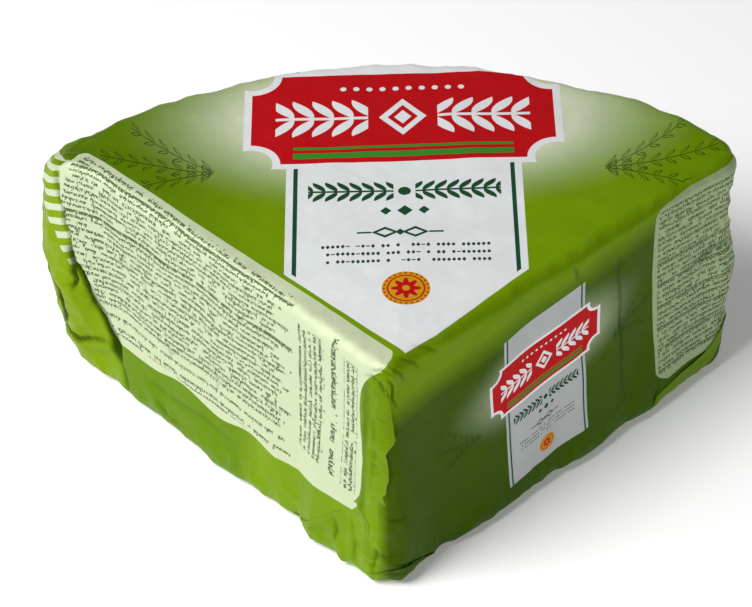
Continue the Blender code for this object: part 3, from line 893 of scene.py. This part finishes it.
class Recipe:
    """A material's nodes, added one by one, ending in its Principled shader."""

    def __init__(self, name):
        self.material = bpy.data.materials.new(name)
        self.material.use_nodes = True
        self.tree = self.material.node_tree
        self.shader = self.tree.nodes["Principled BSDF"]

    def node(self, kind, settings=None, sockets=None, output=0):
        """Adds a node: its settings first, then the values or links of its sockets; gives one output."""
        made = self.tree.nodes.new(kind)
        for name, value in (settings or {}).items():
            setattr(made, name, value)
        for key, value in (sockets or {}).items():
            self.feed(made.inputs[key], value)
        return Wire(self, made.outputs[output])

    def feed(self, socket, value):
        """Links a wire to a socket, or sets the socket's own value."""
        if isinstance(value, Wire):
            self.tree.links.new(value.socket, socket)
        else:
            socket.default_value = value

    def maths(self, operation, *values):
        """A Math node on wires and numbers."""
        return self.node("ShaderNodeMath", {"operation": operation}, dict(enumerate(values)))

    def blend(self, mask, under, over):
        """The colour under where the mask is 0, and the colour over where it is 1."""
        return self.node("ShaderNodeMix", {"data_type": "RGBA"}, {0: mask, 6: under, 7: over}, output=2)

    def choose(self, mask, first, second):
        """first where the mask is 0, second where it is 1."""
        return first + (second - first) * mask

    def hold(self, value):
        """The value held between 0 and 1."""
        return self.node("ShaderNodeClamp", {}, {0: value})

    def slope(self, value, start, end):
        """0 at start and 1 at end, straight between them and held beyond."""
        return self.hold((value - start) / (end - start))

    def parts(self, vector, axes):
        """One wire for each named axis of a vector."""
        return [self.node("ShaderNodeSeparateXYZ", {}, {0: vector}, output=axis) for axis in axes]

    def noise(self, x, y, detail=0.0):
        """Smooth noise about 0.5 of two numbers, whose lumps are one unit wide."""
        place = self.node("ShaderNodeCombineXYZ", {}, {0: x, 1: y})
        sockets = {"Vector": place, "Scale": 1.0, "Detail": detail}
        return self.node("ShaderNodeTexNoise", {"noise_dimensions": "2D"}, sockets)

    def draw(self, value):
        """A random number from 0 to 1 for each whole value."""
        return self.node("ShaderNodeTexWhiteNoise", {"noise_dimensions": "1D"}, {"W": value})


def between(value, low, high):
    """1 where low < value < high."""
    return (value > low) & (value < high)


def box(a, b, half_a, half_b):
    """1 inside a rectangle about the origin."""
    return (abs(a) < half_a) & (abs(b) < half_b)


def disc(a, b, radius):
    """1 inside a circle about the origin."""
    return (a * a + b * b) < radius * radius


def lozenge(a, b, half_a, half_b):
    """1 inside a lozenge: |a| / half_a + |b| / half_b < 1."""
    return (abs(a) / half_a + abs(b) / half_b) < 1.0


def hollow_lozenge(a, b, outer, inner):
    """1 between two lozenges about the origin."""
    return lozenge(a, b, *outer) & (1.0 - lozenge(a, b, *inner))


def past_corner(a, b, radius):
    """1 beyond a rounded corner: both numbers over nothing, and outside the circle about their origin."""
    return (a > 0.0) & (b > 0.0) & ((a * a + b * b) > radius * radius)


def leaf_row(a, b, pitch, reach, width, lean):
    """1 inside pairs of pointed leaves on a stem along a: |a'| < width / 2 * (1 - (2 |b| / reach - 1)^2).

    a' is the place in a cell of the row, sheared by |b| * lean, so the leaves slant outwards from the middle.
    """
    cell = (abs(a) - abs(b) * lean) % pitch - pitch / 2.0
    share = abs(b) * (2.0 / reach) - 1.0
    return (abs(cell) < (1.0 - share * share) * (width / 2.0)) & (abs(b) < reach)


def scooped(a, b, half_a, half_b, scoop, grow=0.0):
    """1 inside a plaque whose corners are scooped out by discs."""
    out_a, out_b = abs(a) - half_a, abs(b) - half_b
    clear = (out_a * out_a + out_b * out_b) > (scoop - grow) ** 2
    return (out_a < grow) & (out_b < grow) & clear


def fine_rows(recipe, a, b, pitch, height, mark, seed):
    """Rows of uneven marks for fine print: noise along each row, cut off at a level, in groups."""
    row = recipe.maths("FLOOR", b / pitch)
    within = b - row * pitch
    marks = recipe.noise(a / mark + row * 7.31 + seed, b / (mark * 1.7)) > 0.42
    groups = recipe.noise(a / (mark * 5.0), row * 3.77 + seed) > 0.32
    tall = recipe.hold(recipe.noise(a / (mark * 1.3), row * 5.13 + seed) - 0.55) * (pitch * 2.0)
    return between(within, (pitch - height) - tall, pitch) & marks & groups


def bead_rows(recipe, a, b, pitch):
    """Rows of small beads, lozenges and dashes in groups: each cell draws its own shape or leaves a gap."""
    row = recipe.maths("FLOOR", b / pitch)
    cell = recipe.maths("FLOOR", a / BEAD_STEP)
    in_a, in_b = a - cell * BEAD_STEP - 0.72, b - row * pitch - pitch * 0.42
    kind = recipe.draw(cell + row * 61.0)
    bead = disc(in_a, in_b * 0.74, 0.50) & (kind > 0.45)
    dash = box(in_a, in_b, 0.60, 0.24) & (kind < 0.22)
    gem = lozenge(in_a, in_b, 0.64, 0.95) & between(kind, 0.22, 0.45)
    return (bead | dash | gem) & (kind > 0.10) & (recipe.draw(cell + row * 37.0 + 0.5) > 0.13)


def dark_ornaments(recipe, across, up):
    """The label's garland, lozenges, knot of lines and rows of beads, one under another."""
    off = up - GARLAND_AT
    garland = leaf_row(across, off, 3.6, 4.4, 2.5, 0.8) | (abs(off) < 0.4)
    garland = garland & between(abs(across), 3.2, 28.4) | disc(across, off, 1.9)
    off = up - LOZENGES_AT
    lozenges = lozenge(across, off, 2.3, 2.3) | lozenge(abs(across) - 5.6, off, 1.7, 1.7)
    aside, off = across + 1.5, up - KNOT_AT
    knot = hollow_lozenge(abs(aside) - 4.4, off, (4.0, 2.6), (2.4, 1.4)) | lozenge(aside, off, 1.5, 1.5)
    knot = knot | (box(aside, off, 12.6, 0.4) & (abs(aside) > 8.4))
    off = up - BEADS_AT
    beads = box(across, off, *BEADS_HALF) & bead_rows(recipe, across, off + BEADS_HALF[1], BEAD_ROW_PITCH)
    return garland | lozenges | knot | beads


def gold_disc(recipe, inks, across, up, art):
    """A gold disc with red beads, a thin ring and a star whose edge is at 3.4 + 0.9 cos(8 * turn)."""
    a, b = across + 0.2, up - DISC_AT
    turn = recipe.maths("ARCTAN2", a, b)
    away = recipe.maths("SQRT", a * a + b * b)
    star = (away < recipe.maths("COSINE", turn * 8.0) * 0.9 + 3.4) & (away > 1.1)
    beads = (recipe.maths("COSINE", turn * 24.0) > 0.2) & between(away, 6.0, 6.6)
    art = recipe.blend(away < 6.9, art, inks.gold)
    return recipe.blend(between(away, 5.0, 5.5) | star | beads, art, inks.plaque)


def plaque(recipe, inks, across, rise, art):
    """The red plaque: white border, wreath, lozenges and dots, and two green bars along its foot."""
    art = recipe.blend(scooped(across, rise, *PLAQUE_HALF, PLAQUE_SCOOP, PLAQUE_BORDER), art, inks.label)
    art = recipe.blend(scooped(across, rise, *PLAQUE_HALF, PLAQUE_SCOOP), art, inks.plaque)
    wreath = leaf_row(across, rise, 6.0, 8.4, 4.3, 0.75) | (abs(rise) < 0.6)
    wreath = wreath & between(abs(across), 10.5, 38.5)
    middle = hollow_lozenge(across, rise, (7.2, 8.6), (4.6, 5.6)) | lozenge(across, rise, 2.6, 3.2)
    dots = disc((across + 60.0) % 4.0 - 2.0, rise - 13.6, 0.95) & (abs(across) < 19.8)
    art = recipe.blend(wreath | middle | dots, art, inks.label)
    bars = (between(rise, -18.4, -15.9) | between(rise, -14.4, -13.2)) & (abs(across) < 33.0)
    return recipe.blend(bars, art, inks.stripe)


def label_art(recipe, inks, across, up, ground, tall):
    """The label's ornaments over its ground, all of them plain shapes in dark green, red, gold and white.

    across runs over the label and up runs along it from its lower corner, both in millimetres. tall is 1
    where the label's side bars run its whole length.
    """
    side_bars = between(abs(across), 31.5, 32.8) & ((up > abs(across) + 2.2) | tall)
    art = recipe.blend(side_bars | dark_ornaments(recipe, across, up), ground, inks.dark_ink)
    art = gold_disc(recipe, inks, across, up, art)
    return plaque(recipe, inks, across, up - PLAQUE_AT, art)


def twigs(across, up):
    """Twigs beside the plaque: outlined leaves along a stem bent as rise t + bend t^2, t from root to tip."""
    drawn = 0.0
    for (side, root, foot), (length, rise, bend) in itertools.product(TWIG_ROOTS, TWIG_STEMS):
        share = (across * side - root) / length
        off = up - foot - share * rise - share * share * bend
        outline = leaf_row(share * length, off, 4.4, 3.4, 1.7, 0.9)
        filling = leaf_row(share * length, off, 4.4, 3.0, 0.8, 0.9)
        leaves = outline & (1.0 - filling) | (abs(off) < 0.22)
        drawn = drawn | (leaves & between(share, 0.05, 1.0))
    return drawn


class Inks:
    """The print's colours as plain lists, read from their property group."""

    def __init__(self, colours):
        for name in colours.__annotations__:
            setattr(self, name, list(getattr(colours, name)))


class FoilPrint:
    """The print of the whole wrap with its painted shade and highlights: masks of its regions, then its
    colours, laid one over another.

    x and y are the place on the object and u and v the place on the unrolled skin, all in millimetres.
    """

    def __init__(self, recipe, scene):
        self.recipe, self.inks = recipe, Inks(scene.wedge_colours)
        sizes = Millimetres(scene.wedge_sizes)
        self.height, self.nose = sizes.pack_height, sizes.nose_place
        self.half_angle = scene.wedge_sizes.wedge_angle / 2.0
        self.place = recipe.node("ShaderNodeTexCoord", output="Object")
        mapped = recipe.node("ShaderNodeUVMap", {"uv_map": "print"})
        painted_light_bare_layer = recipe.node("ShaderNodeAttribute", {"attribute_name": "painted_light_bare_layer"}, output="Vector")
        self.x, self.y = (part / MM for part in recipe.parts(self.place, "XY"))
        self.u, self.v = (part / MM for part in recipe.parts(mapped, "XY"))
        # The vector holds the painted highlight (over 0) and painted crease shade (under 0), the bare side
        # and the layer
        self.painted_sheen_and_shade, self.bare, self.layer = recipe.parts(painted_light_bare_layer, "XYZ")
        self.on_top = self.v > self.height
        self.on_right = between(self.u, 0.0, 147.0) & (self.v < self.height + 2.0)
        self.frame_labels()

    def frame_labels(self):
        """The top label's own frame, and the small label's on the right face, brought to the same scale."""
        dx = self.x - (self.nose[0] + LABEL_CORNER[0])
        dy = self.y - (self.nose[1] + LABEL_CORNER[1])
        cosine, sine = math.cos(LABEL_TURN), math.sin(LABEL_TURN)
        self.top_across, self.top_up = dx * cosine + dy * sine, dy * cosine - dx * sine
        along = self.u - SMALL_LABEL_AT[0]
        self.small_rise = (self.v - SMALL_LABEL_AT[1]) - along * SMALL_LABEL_RISE
        self.small_across = along / SMALL_LABEL_WIDE
        small_up = self.small_rise / SMALL_LABEL_TALL + PLAQUE_AT
        self.across = self.recipe.choose(self.on_right, self.top_across, self.small_across)
        self.up = self.recipe.choose(self.on_right, self.top_up, small_up)

    def screen(self):
        """The print's fine slanting lines, as sin(2 pi * distance / pitch)."""
        wall, top = self.v * 0.87 - abs(self.u) * 0.5, self.x * 0.93 - self.y * 0.36
        lines = self.recipe.choose(self.on_top, wall, top)
        return self.recipe.maths("SINE", lines * (2.0 * math.pi / SCREEN_PITCH))

    def left_green(self, cloud):
        """Bright lacquer of the left face and the rim, darker in patches and near the nose, with painted
        shade in the seam.
        """
        recipe, inks, u, v, slope = self.recipe, self.inks, self.u, self.v, self.recipe.slope
        green = recipe.blend(slope(u, -116.0, -124.0), inks.bright_green, inks.rim_green)
        low_band = slope(u, -114.0, -112.0) * slope(u, -48.0, -60.0) * 0.95
        near_nose = slope(u, -60.0, -30.0) * 0.38 + slope(u, -8.0, -6.0) * slope(v, 25.0, 65.0) * 0.5
        green = recipe.blend(recipe.hold(cloud + (near_nose | low_band)), green, inks.left_shade)
        # Painted shade along the seam where the lip at the nose is rooted
        seam = slope(abs(u + 6.1), 2.2, 0.0) * between(v, 27.0, 77.0) * 0.65
        return recipe.blend(seam, green, inks.deep_green)

    def right_green(self, cloud):
        """The right face's green painted darker as its shade, lighter upwards and towards the rear, with
        painted light on the flared foot and a painted highlight below the top edge.
        """
        recipe, inks, u, v, slope = self.recipe, self.inks, self.u, self.v, self.recipe.slope
        # Painted light where the flared foot faces up
        flare = slope(u, 45.0, 70.0) * slope(v, 13.0, 5.0)
        light = recipe.hold(0.20 + v / 200.0 + cloud * 0.5 + slope(u, 70.0, 85.0) * 0.3 + flare * 0.7)
        green = recipe.blend(light, inks.shade_green, inks.deep_green)
        # Painted highlight in a band below the top edge, where the rounded edge would catch the light
        shoulder_highlight = slope(v - u * 0.1, self.height - 23.5, self.height - 13.5) * 0.82
        return recipe.blend(shoulder_highlight, green, inks.mid_green)

    def top_green(self, cloud):
        """Lacquer of the top, deeper away from the label."""
        away = -self.top_across | self.top_across * 0.55
        light = self.recipe.hold(1.38 - away / 82.0 + cloud * 0.6)
        return self.recipe.blend(light, self.inks.deep_green, self.inks.mid_green)

    def glow(self, art):
        """The pale glow round both plaques: the held slope of the distance from their middle, squared."""
        a, b = (self.across - 2.5) / 51.0, (self.up - PLAQUE_AT) / 26.0
        share = self.recipe.slope(self.recipe.maths("SQRT", a * a + b * b), 1.78, 0.98)
        strength = (self.on_top | self.on_right) * self.recipe.choose(self.on_right, 0.95, 0.34)
        return self.recipe.blend(share * share * strength, art, self.inks.glow)

    def labels(self, art):
        """The white grounds of the two labels, with the art that they share."""
        recipe, inks = self.recipe, self.inks
        large = (abs(self.top_across) < LABEL_HALF) & (self.top_up > abs(self.top_across))
        large = large & (1.0 - self.on_right)
        small = (abs(self.small_across) < LABEL_HALF) & between(self.small_rise, *SMALL_LABEL_SPAN)
        small = small & self.on_right
        by_plaque = box(self.across, self.up - PLAQUE_AT, *PLAQUE_ROOM) & (self.on_top | self.on_right)
        art = recipe.blend(large, art, inks.label)
        # The small label's white is painted darker, as shade of the right face
        art = recipe.blend(small, art, inks.small_label)
        drawn = label_art(recipe, inks, self.across, self.up, art, self.on_right)
        return recipe.blend(large | small | by_plaque, art, drawn)

    def pale_fields(self, art):
        """The corner's bars and the two fields of fine print; also gives the left field's mask.

        Past the top edge the left field's place is taken from the distances along and from the cut face.
        """
        recipe, inks, u, v = self.recipe, self.inks, self.u, self.v
        cut_x, cut_y = self.x - self.nose[0], self.y - self.nose[1]
        cosine, sine = math.cos(self.half_angle), math.sin(self.half_angle)
        flat = v > self.height + 2.5
        left_u = recipe.choose(flat, u, cut_x * sine - cut_y * cosine)
        left_v = recipe.choose(flat, v, cut_x * cosine + cut_y * sine + self.height)
        left, right = left_panel(recipe, left_u, left_v), right_panel(recipe, u, v)
        art = recipe.blend(corner_bars(u, v) | left, art, inks.panel)
        art = recipe.blend(left & left_print(recipe, left_u, left_v), art, inks.fine_ink)
        # The right field is painted darker, as shade of the right face
        art = recipe.blend(right, art, inks.right_panel)
        return recipe.blend(right & right_print(recipe, u, v), art, inks.right_ink), left

    def colours(self, screen):
        """Every field of colour in its order, and the left field's mask."""
        recipe, inks, u, v = self.recipe, self.inks, self.u, self.v
        cloud = recipe.noise(self.x / CLOUD_SIZE, self.y / CLOUD_SIZE, detail=2.0) - 0.5
        bright = self.left_green(cloud)
        on_lip = between(self.layer, LIP_LAYER - 0.1, LIP_LAYER + 0.1)
        # The right face takes the green that is painted as its shade
        right_share = recipe.slope(u, -1.8, 0.2) * (1.0 - on_lip)
        art = recipe.blend(right_share, bright, self.right_green(cloud))
        art = recipe.blend(recipe.slope(v, self.height - 3.0, self.height + 4.0), art, self.top_green(cloud))
        screen_share = (screen + 1.0) * recipe.choose(self.on_top, 0.055, 0.085)
        art = recipe.blend(screen_share, art, inks.shade_green)
        art = self.glow(art)
        drawn = twigs(self.across, self.up) & (self.on_top | self.on_right)
        art = recipe.blend(drawn * 0.72, art, inks.twig_ink_and_crease_shade)
        art, left_field = self.pale_fields(self.labels(art))
        art = recipe.blend(v < -1.0, art, bright)
        art = recipe.blend(self.layer > PATCH_LAYER - 0.1, art, inks.patch_green)
        # Painted highlight on the crests of small folds and along free edges, then painted shade in the
        # creases
        art = recipe.blend(recipe.hold(self.painted_sheen_and_shade) * 0.04, art, inks.glow)
        art = recipe.blend(recipe.hold(-self.painted_sheen_and_shade) * 0.85, art, inks.twig_ink_and_crease_shade)
        return recipe.blend(self.bare, art, inks.bare_foil), left_field


def printed_foil(scene):
    """The lacquered foil: its print over crumpled satin metal."""
    recipe = Recipe(FOIL_MATERIAL)
    foil_print = FoilPrint(recipe, scene)
    screen = foil_print.screen()
    colour, left_field = foil_print.colours(screen)
    place = {"Vector": foil_print.place}
    mottle = recipe.node("ShaderNodeTexNoise", {}, {**place, "Scale": 210.0, "Detail": 4.0, "Roughness": 0.6})
    cells = recipe.node(
        "ShaderNodeTexVoronoi", {"feature": "DISTANCE_TO_EDGE"}, {**place, "Scale": 95.0, "Randomness": 1.0},
    )
    relief = mottle * 0.5 + recipe.hold(cells * 9.0) * 0.06 + screen * 0.02
    bump = recipe.node("ShaderNodeBump", {}, {"Strength": 0.35, "Distance": 0.0006, "Height": relief})
    values = {
        "Base Color": colour,
        "Roughness": recipe.hold(mottle * 0.3 + left_field * 0.2 + 0.30),
        "Metallic": recipe.hold(foil_print.bare * 0.5 + 0.40),
        "Normal": bump,
        "Specular IOR Level": 0.02,
    }
    for name, value in values.items():
        recipe.feed(recipe.shader.inputs[name], value)
    return recipe.material


def left_panel(recipe, u, v):
    """The pale field of the left face: a wavy foot, a top just over the edge and two rounded corners."""
    top = recipe.slope(u, -115.0, -35.0) * 2.0 + 89.2
    wave = recipe.maths("COSINE", (u + 24.0) * (2.0 * math.pi / 30.0)) * 1.4 + 22.3
    foot = recipe.maths("MAXIMUM", recipe.choose(u < -99.0, wave, 20.9), (u + 20.0) * 0.1 + 23.9)
    high = recipe.maths("MAXIMUM", v - 70.0, 0.0) / 15.0
    sway = recipe.maths("COSINE", (v - 43.0) * (2.0 * math.pi / 44.0)) * 0.9
    notch = recipe.choose(v < 28.4, (v - 28.4) * 0.55 - 9.2, (v - 28.4) * 0.75 - 7.1)
    nose_end = recipe.maths("MINIMUM", sway - 7.3 + high * high * 8.0, notch)
    nose_end = recipe.choose(v > 85.7, nose_end, -2.6)
    rear_end = recipe.maths("MAXIMUM", -130.6 - (v - 60.0) * 0.16, (41.0 - v) * 0.5 - 125.6)
    field = (v < top) & (v > foot) & (u < nose_end) & (u > rear_end)
    corners = past_corner(-131.0 - u, v - 86.2, 3.8) | past_corner(u + 7.6, v - 86.9, 5.0)
    return field & (1.0 - corners)


def left_print(recipe, u, v):
    """Rows of marks along the left face, a few of them bold, and upright rows beside the nose."""
    wavy = v + recipe.noise(u / 26.0, v / 18.0) * 2.2
    row = recipe.maths("FLOOR", wavy / LEFT_ROW_PITCH)
    ragged = recipe.draw(row + 31.0) * 9.0 - 45.0
    room = between(v, 24.5, 88.0) & between(u, (41.0 - v) * 0.5 - 124.4, ragged) & (u > -132.0)
    bold = fine_rows(recipe, u, wavy, LEFT_ROW_PITCH, 1.3, 0.62, 9.0) & (recipe.draw(row + 77.0) > 0.88)
    plain = fine_rows(recipe, u, wavy, LEFT_ROW_PITCH, 0.95, 0.50, 3.0)
    level = room & (plain | bold) & (recipe.draw(row + 5.0) > 0.07)
    wide = between(u, -34.0, -23.0) & between(v, 33.0, 80.0) & fine_rows(recipe, v, u, 2.2, 1.0, 0.50, 17.0)
    heading = between(u, -20.4, -17.6) & between(v, 32.0, 84.0)
    heading = heading & fine_rows(recipe, v, u + 0.4, 3.0, 1.7, 0.70, 29.0)
    last = between(u, -15.0, -9.2) & between(v, 31.0, 79.0) & fine_rows(recipe, v, u, 2.1, 1.0, 0.50, 23.0)
    return level | wide | heading | last


def right_panel(recipe, u, v):
    """The pale field at the right rear corner, with one rounded corner."""
    near_end = recipe.maths("COSINE", (v - 8.0) * (2.0 * math.pi / 92.0)) * 0.5 + 105.1
    low_curve = recipe.maths("MAXIMUM", 17.0 - v, 0.0)
    near_end = near_end + low_curve * low_curve * 0.16
    top = recipe.slope(u, 106.0, 120.0) * 2.4 + 80.4
    field = between(u, near_end, 146.0) & between(v, 11.2, top)
    return field & (1.0 - past_corner(near_end + 4.0 - u, v - 76.8, 4.0))


def right_print(recipe, u, v):
    """Dense rows of marks at the right rear corner, with thin rules between blocks of rows."""
    slant = v + (u - 105.0) * 0.03 + recipe.noise(u / 16.0, v / 20.0)
    rules = ((slant % 8.4) < 0.40) & (v < 64.0)
    rows = fine_rows(recipe, u, slant, 2.1, 1.05, 0.42, 41.0)
    return between(u, 106.6, 144.0) & between(v, 14.0, 79.0) & (rows | rules)


def corner_bars(u, v):
    """Short slanting bars one above another round the left rear corner."""
    slanted = v - (u + 131.6) * 0.75
    cell = (slanted - 43.6) % 5.2 - 2.6
    left = -136.3 + (64.1 - v) * 0.33
    return (abs(cell) < 1.25) & between(u, left, -126.0) & between(slanted, 44.5, 90.4) & (v < 84.8)


def foil_material(scene):
    """The one printed foil, made the first time that a piece asks for it."""
    return bpy.data.materials.get(FOIL_MATERIAL) or printed_foil(scene)


class WEDGE_OT_foil_skin(bpy.types.Operator):
    """Makes the closed, crumpled skin of printed foil"""

    bl_idname = "wedge.foil_skin"
    bl_label = "Foil skin"

    def execute(self, context):
        scene = context.scene
        foil = Foil(Wedge(scene.wedge_sizes), scene.wedge_crumple)
        skin = FoilSkin(foil, scene.wedge_sizes.columns).build("foil_wrap")
        skin.data.materials.append(foil_material(scene))
        return {"FINISHED"}


class WEDGE_OT_folded_sheets(bpy.types.Operator):
    """Makes the sheets where the foil folds over itself"""

    bl_idname = "wedge.folded_sheets"
    bl_label = "Folded sheets"

    # Name, free edge, hidden border, lift along the edge (mm), layer, mesh spacing (mm), rippled
    sheets = (
        ("left_flap", LEFT_FLAP, LEFT_FLAP_ROOT, (0.2, 0.25, 0.35, 0.5, 0.8, 0.9, 0.8), NO_LAYER, 0.6, False),
        ("right_fin", RIGHT_FIN, RIGHT_FIN_ROOT, (0.3, 0.8, 0.8, 1.2, 1.0, 0.8, 0.4), NO_LAYER, 0.9, False),
        ("right_tuck", RIGHT_TUCK, RIGHT_TUCK_ROOT, (0.15, 0.15, 0.3, 0.3), PATCH_LAYER, 0.9, False),
        ("nose_lip", NOSE_LIP, NOSE_LIP_ROOT, (0.3, 0.9, 0.8, 1.2, 0.7, 0.1), LIP_LAYER, 0.34, True),
        ("foot_patch", FOOT_PATCH, FOOT_PATCH_ROOT, (0.6, 0.1, 0.05, 0.0, 0.0), PATCH_LAYER, 0.8, False),
        ("nose_turn_up", NOSE_TURN_UP, NOSE_TURN_UP_ROOT, (0.1, 0.25, 0.2, 0.1), NO_LAYER, 0.6, False),
        ("rim_lap", RIM_LAP, RIM_LAP_ROOT, (0.4, 0.6, 0.5), NO_LAYER, 1.1, False),
        ("rim_ear", RIM_EAR, RIM_EAR_ROOT, (0.5, 1.0, 0.8), NO_LAYER, 1.1, False),
    )
    shift = 3.0

    def execute(self, context):
        scene = context.scene
        foil = Foil(Wedge(scene.wedge_sizes), scene.wedge_crumple)
        material = foil_material(scene)
        thickness = scene.wedge_sizes.foil_thickness / MM
        for order, (name, *form) in enumerate(self.sheets):
            piece = FoldedSheet(foil, thickness, self.shift * order).build(name, *form)
            piece.data.materials.append(material)
        return {"FINISHED"}


class WEDGE_OT_base_flap(bpy.types.Operator):
    """Makes the last flap of foil, folded under the pack"""

    bl_idname = "wedge.base_flap"
    bl_label = "Base flap"

    half_reach = 106.0
    front = ((-30.0, -13.0), (4.0, -32.0), (38.0, -11.0))
    columns, rows = 96, 22
    inset = 1.5
    level, unevenness, lump, lowest = 0.30, 0.16, 11.0, 0.14
    thickness = 0.28

    def execute(self, context):
        scene = context.scene
        wedge = Wedge(scene.wedge_sizes)
        crumple = Crumple(scene.wedge_crumple.seed)
        middle = wedge.length / 2.0
        u = np.linspace(middle - self.half_reach, middle + self.half_reach, self.columns)
        plan, normal = wedge.at(u)
        rim = plan - normal * (wedge.base_edge + self.inset)
        point = resample(self.front, self.columns)[::-1]
        share = np.linspace(0.0, 1.0, self.rows)[:, None, None]
        flat = rim * (1.0 - share) + point * share
        lower = np.concatenate([flat, np.zeros_like(flat[..., :1])], axis=-1)
        level = np.maximum(self.level + self.unevenness * crumple.noise(lower, self.lump), self.lowest)
        upper = np.concatenate([flat, level[..., None] + self.thickness], axis=-1)
        quads = closed_sheet(self.rows, self.columns)
        points = np.vstack([upper.reshape(-1, 3), lower.reshape(-1, 3)])
        places = np.full((len(points), 2), wedge.low - 20.0)[quads]
        painted_light_bare_layer = np.zeros_like(points)
        piece = foil_object("base_flap", points, [quads], [places], painted_light_bare_layer, FoldedSheet.sharp_angle)
        piece.data.materials.append(foil_material(scene))
        return {"FINISHED"}


class WEDGE_OT_studio(bpy.types.Operator):
    """Sets the pale floor, the soft light and the camera"""

    bl_idname = "wedge.studio"
    bl_label = "Studio"

    key_way = (-0.50, -0.31, 0.81)
    key_distance = 1.2
    key_size = 0.6
    floor_half = 6.0
    floor_white, floor_glow = 0.93, 0.17
    sensor = 36.0
    sight = 30.0

    def floor(self):
        """A wide flat square."""
        corners = np.array([[-1, -1], [1, -1], [1, 1], [-1, 1]]) * self.floor_half
        mesh = bpy.data.meshes.new("floor")
        mesh.from_pydata(np.column_stack([corners, np.zeros(4)]).tolist(), [], [(0, 1, 2, 3)])
        recipe = Recipe("pale_floor")
        place = recipe.node("ShaderNodeTexCoord", output="Object")
        grain = recipe.node("ShaderNodeTexNoise", {}, {"Vector": place, "Scale": 40.0, "Detail": 3.0})
        values = {
            "Base Color": [self.floor_white] * 3 + [1.0],
            "Roughness": grain * 0.1 + 0.85,
            "Emission Color": WHITE,
            "Emission Strength": self.floor_glow,
        }
        for name, value in values.items():
            recipe.feed(recipe.shader.inputs[name], value)
        mesh.materials.append(recipe.material)
        floor = bpy.data.objects.new("floor", mesh)
        bpy.context.scene.collection.objects.link(floor)

    def lights(self, settings):
        """One soft square light from the upper left, and white light all round."""
        light = bpy.data.lights.new("key", "AREA")
        light.energy = settings.key_power
        light.size = self.key_size
        key = bpy.data.objects.new("key", light)
        key.location = Vector(self.key_way) * self.key_distance
        key.rotation_euler = Vector(self.key_way).to_track_quat("Z", "Y").to_euler()
        bpy.context.scene.collection.objects.link(key)
        world = bpy.data.worlds.new("studio")
        world.use_nodes = True
        background = world.node_tree.nodes["Background"]
        background.inputs["Color"].default_value = WHITE
        background.inputs["Strength"].default_value = settings.fill
        bpy.context.scene.world = world

    def camera(self, settings):
        """Looks at the target from azimuth and elevation, rolled about its own axis."""
        azimuth, elevation, roll = settings.azimuth, settings.elevation, settings.roll
        outward = math.cos(elevation)
        back = Vector((math.sin(azimuth) * outward, -math.cos(azimuth) * outward, math.sin(elevation)))
        right = Vector((math.cos(azimuth), math.sin(azimuth), 0.0))
        upright = back.cross(right)
        across = right * math.cos(roll) + upright * math.sin(roll)
        upward = upright * math.cos(roll) - right * math.sin(roll)
        camera = bpy.data.objects.new("camera", bpy.data.cameras.new("camera"))
        camera.data.lens = settings.lens
        camera.data.sensor_width = self.sensor
        camera.data.clip_end = self.sight
        turn = np.column_stack([across, upward, back])
        place = Vector(settings.target) + back * settings.distance
        rows = [[*turn[row], place[row]] for row in range(3)]
        camera.matrix_world = Matrix([*rows, [0.0, 0.0, 0.0, 1.0]])
        bpy.context.scene.collection.objects.link(camera)
        bpy.context.scene.camera = camera

    def execute(self, context):
        settings = context.scene.wedge_studio
        self.floor()
        self.lights(settings)
        self.camera(settings)
        context.scene.view_settings.view_transform = "Standard"
        return {"FINISHED"}


class WEDGE_PT_panel(bpy.types.Panel):
    """Lists the pieces and their settings"""

    bl_idname = "WEDGE_PT_panel"
    bl_label = "Cheese Wedge"
    bl_space_type = "VIEW_3D"
    bl_region_type = "UI"
    bl_category = "Cheese Wedge"

    def draw(self, context):
        for operator in STEPS:
            self.layout.operator(operator.bl_idname)
        for name in SETTINGS:
            group = getattr(context.scene, name)
            fields = self.layout.box()
            for field in group.__annotations__:
                fields.prop(group, field)


SETTINGS = {
    "wedge_sizes": WedgeSizes,
    "wedge_crumple": CrumpleSettings,
    "wedge_colours": PrintColours,
    "wedge_studio": StudioSettings,
}
STEPS = (WEDGE_OT_foil_skin, WEDGE_OT_folded_sheets, WEDGE_OT_base_flap, WEDGE_OT_studio)
CLASSES = (*SETTINGS.values(), *STEPS, WEDGE_PT_panel)


def register():
    for kind in CLASSES:
        bpy.utils.register_class(kind)
    for name, kind in SETTINGS.items():
        setattr(bpy.types.Scene, name, bpy.props.PointerProperty(type=kind))


def unregister():
    for name in SETTINGS:
        delattr(bpy.types.Scene, name)
    for kind in reversed(CLASSES):
        bpy.utils.unregister_class(kind)


def main():
    register()
    bpy.ops.wedge.foil_skin()
    bpy.ops.wedge.folded_sheets()
    bpy.ops.wedge.base_flap()
    bpy.ops.wedge.studio()


if __name__ == "__main__":
    main()
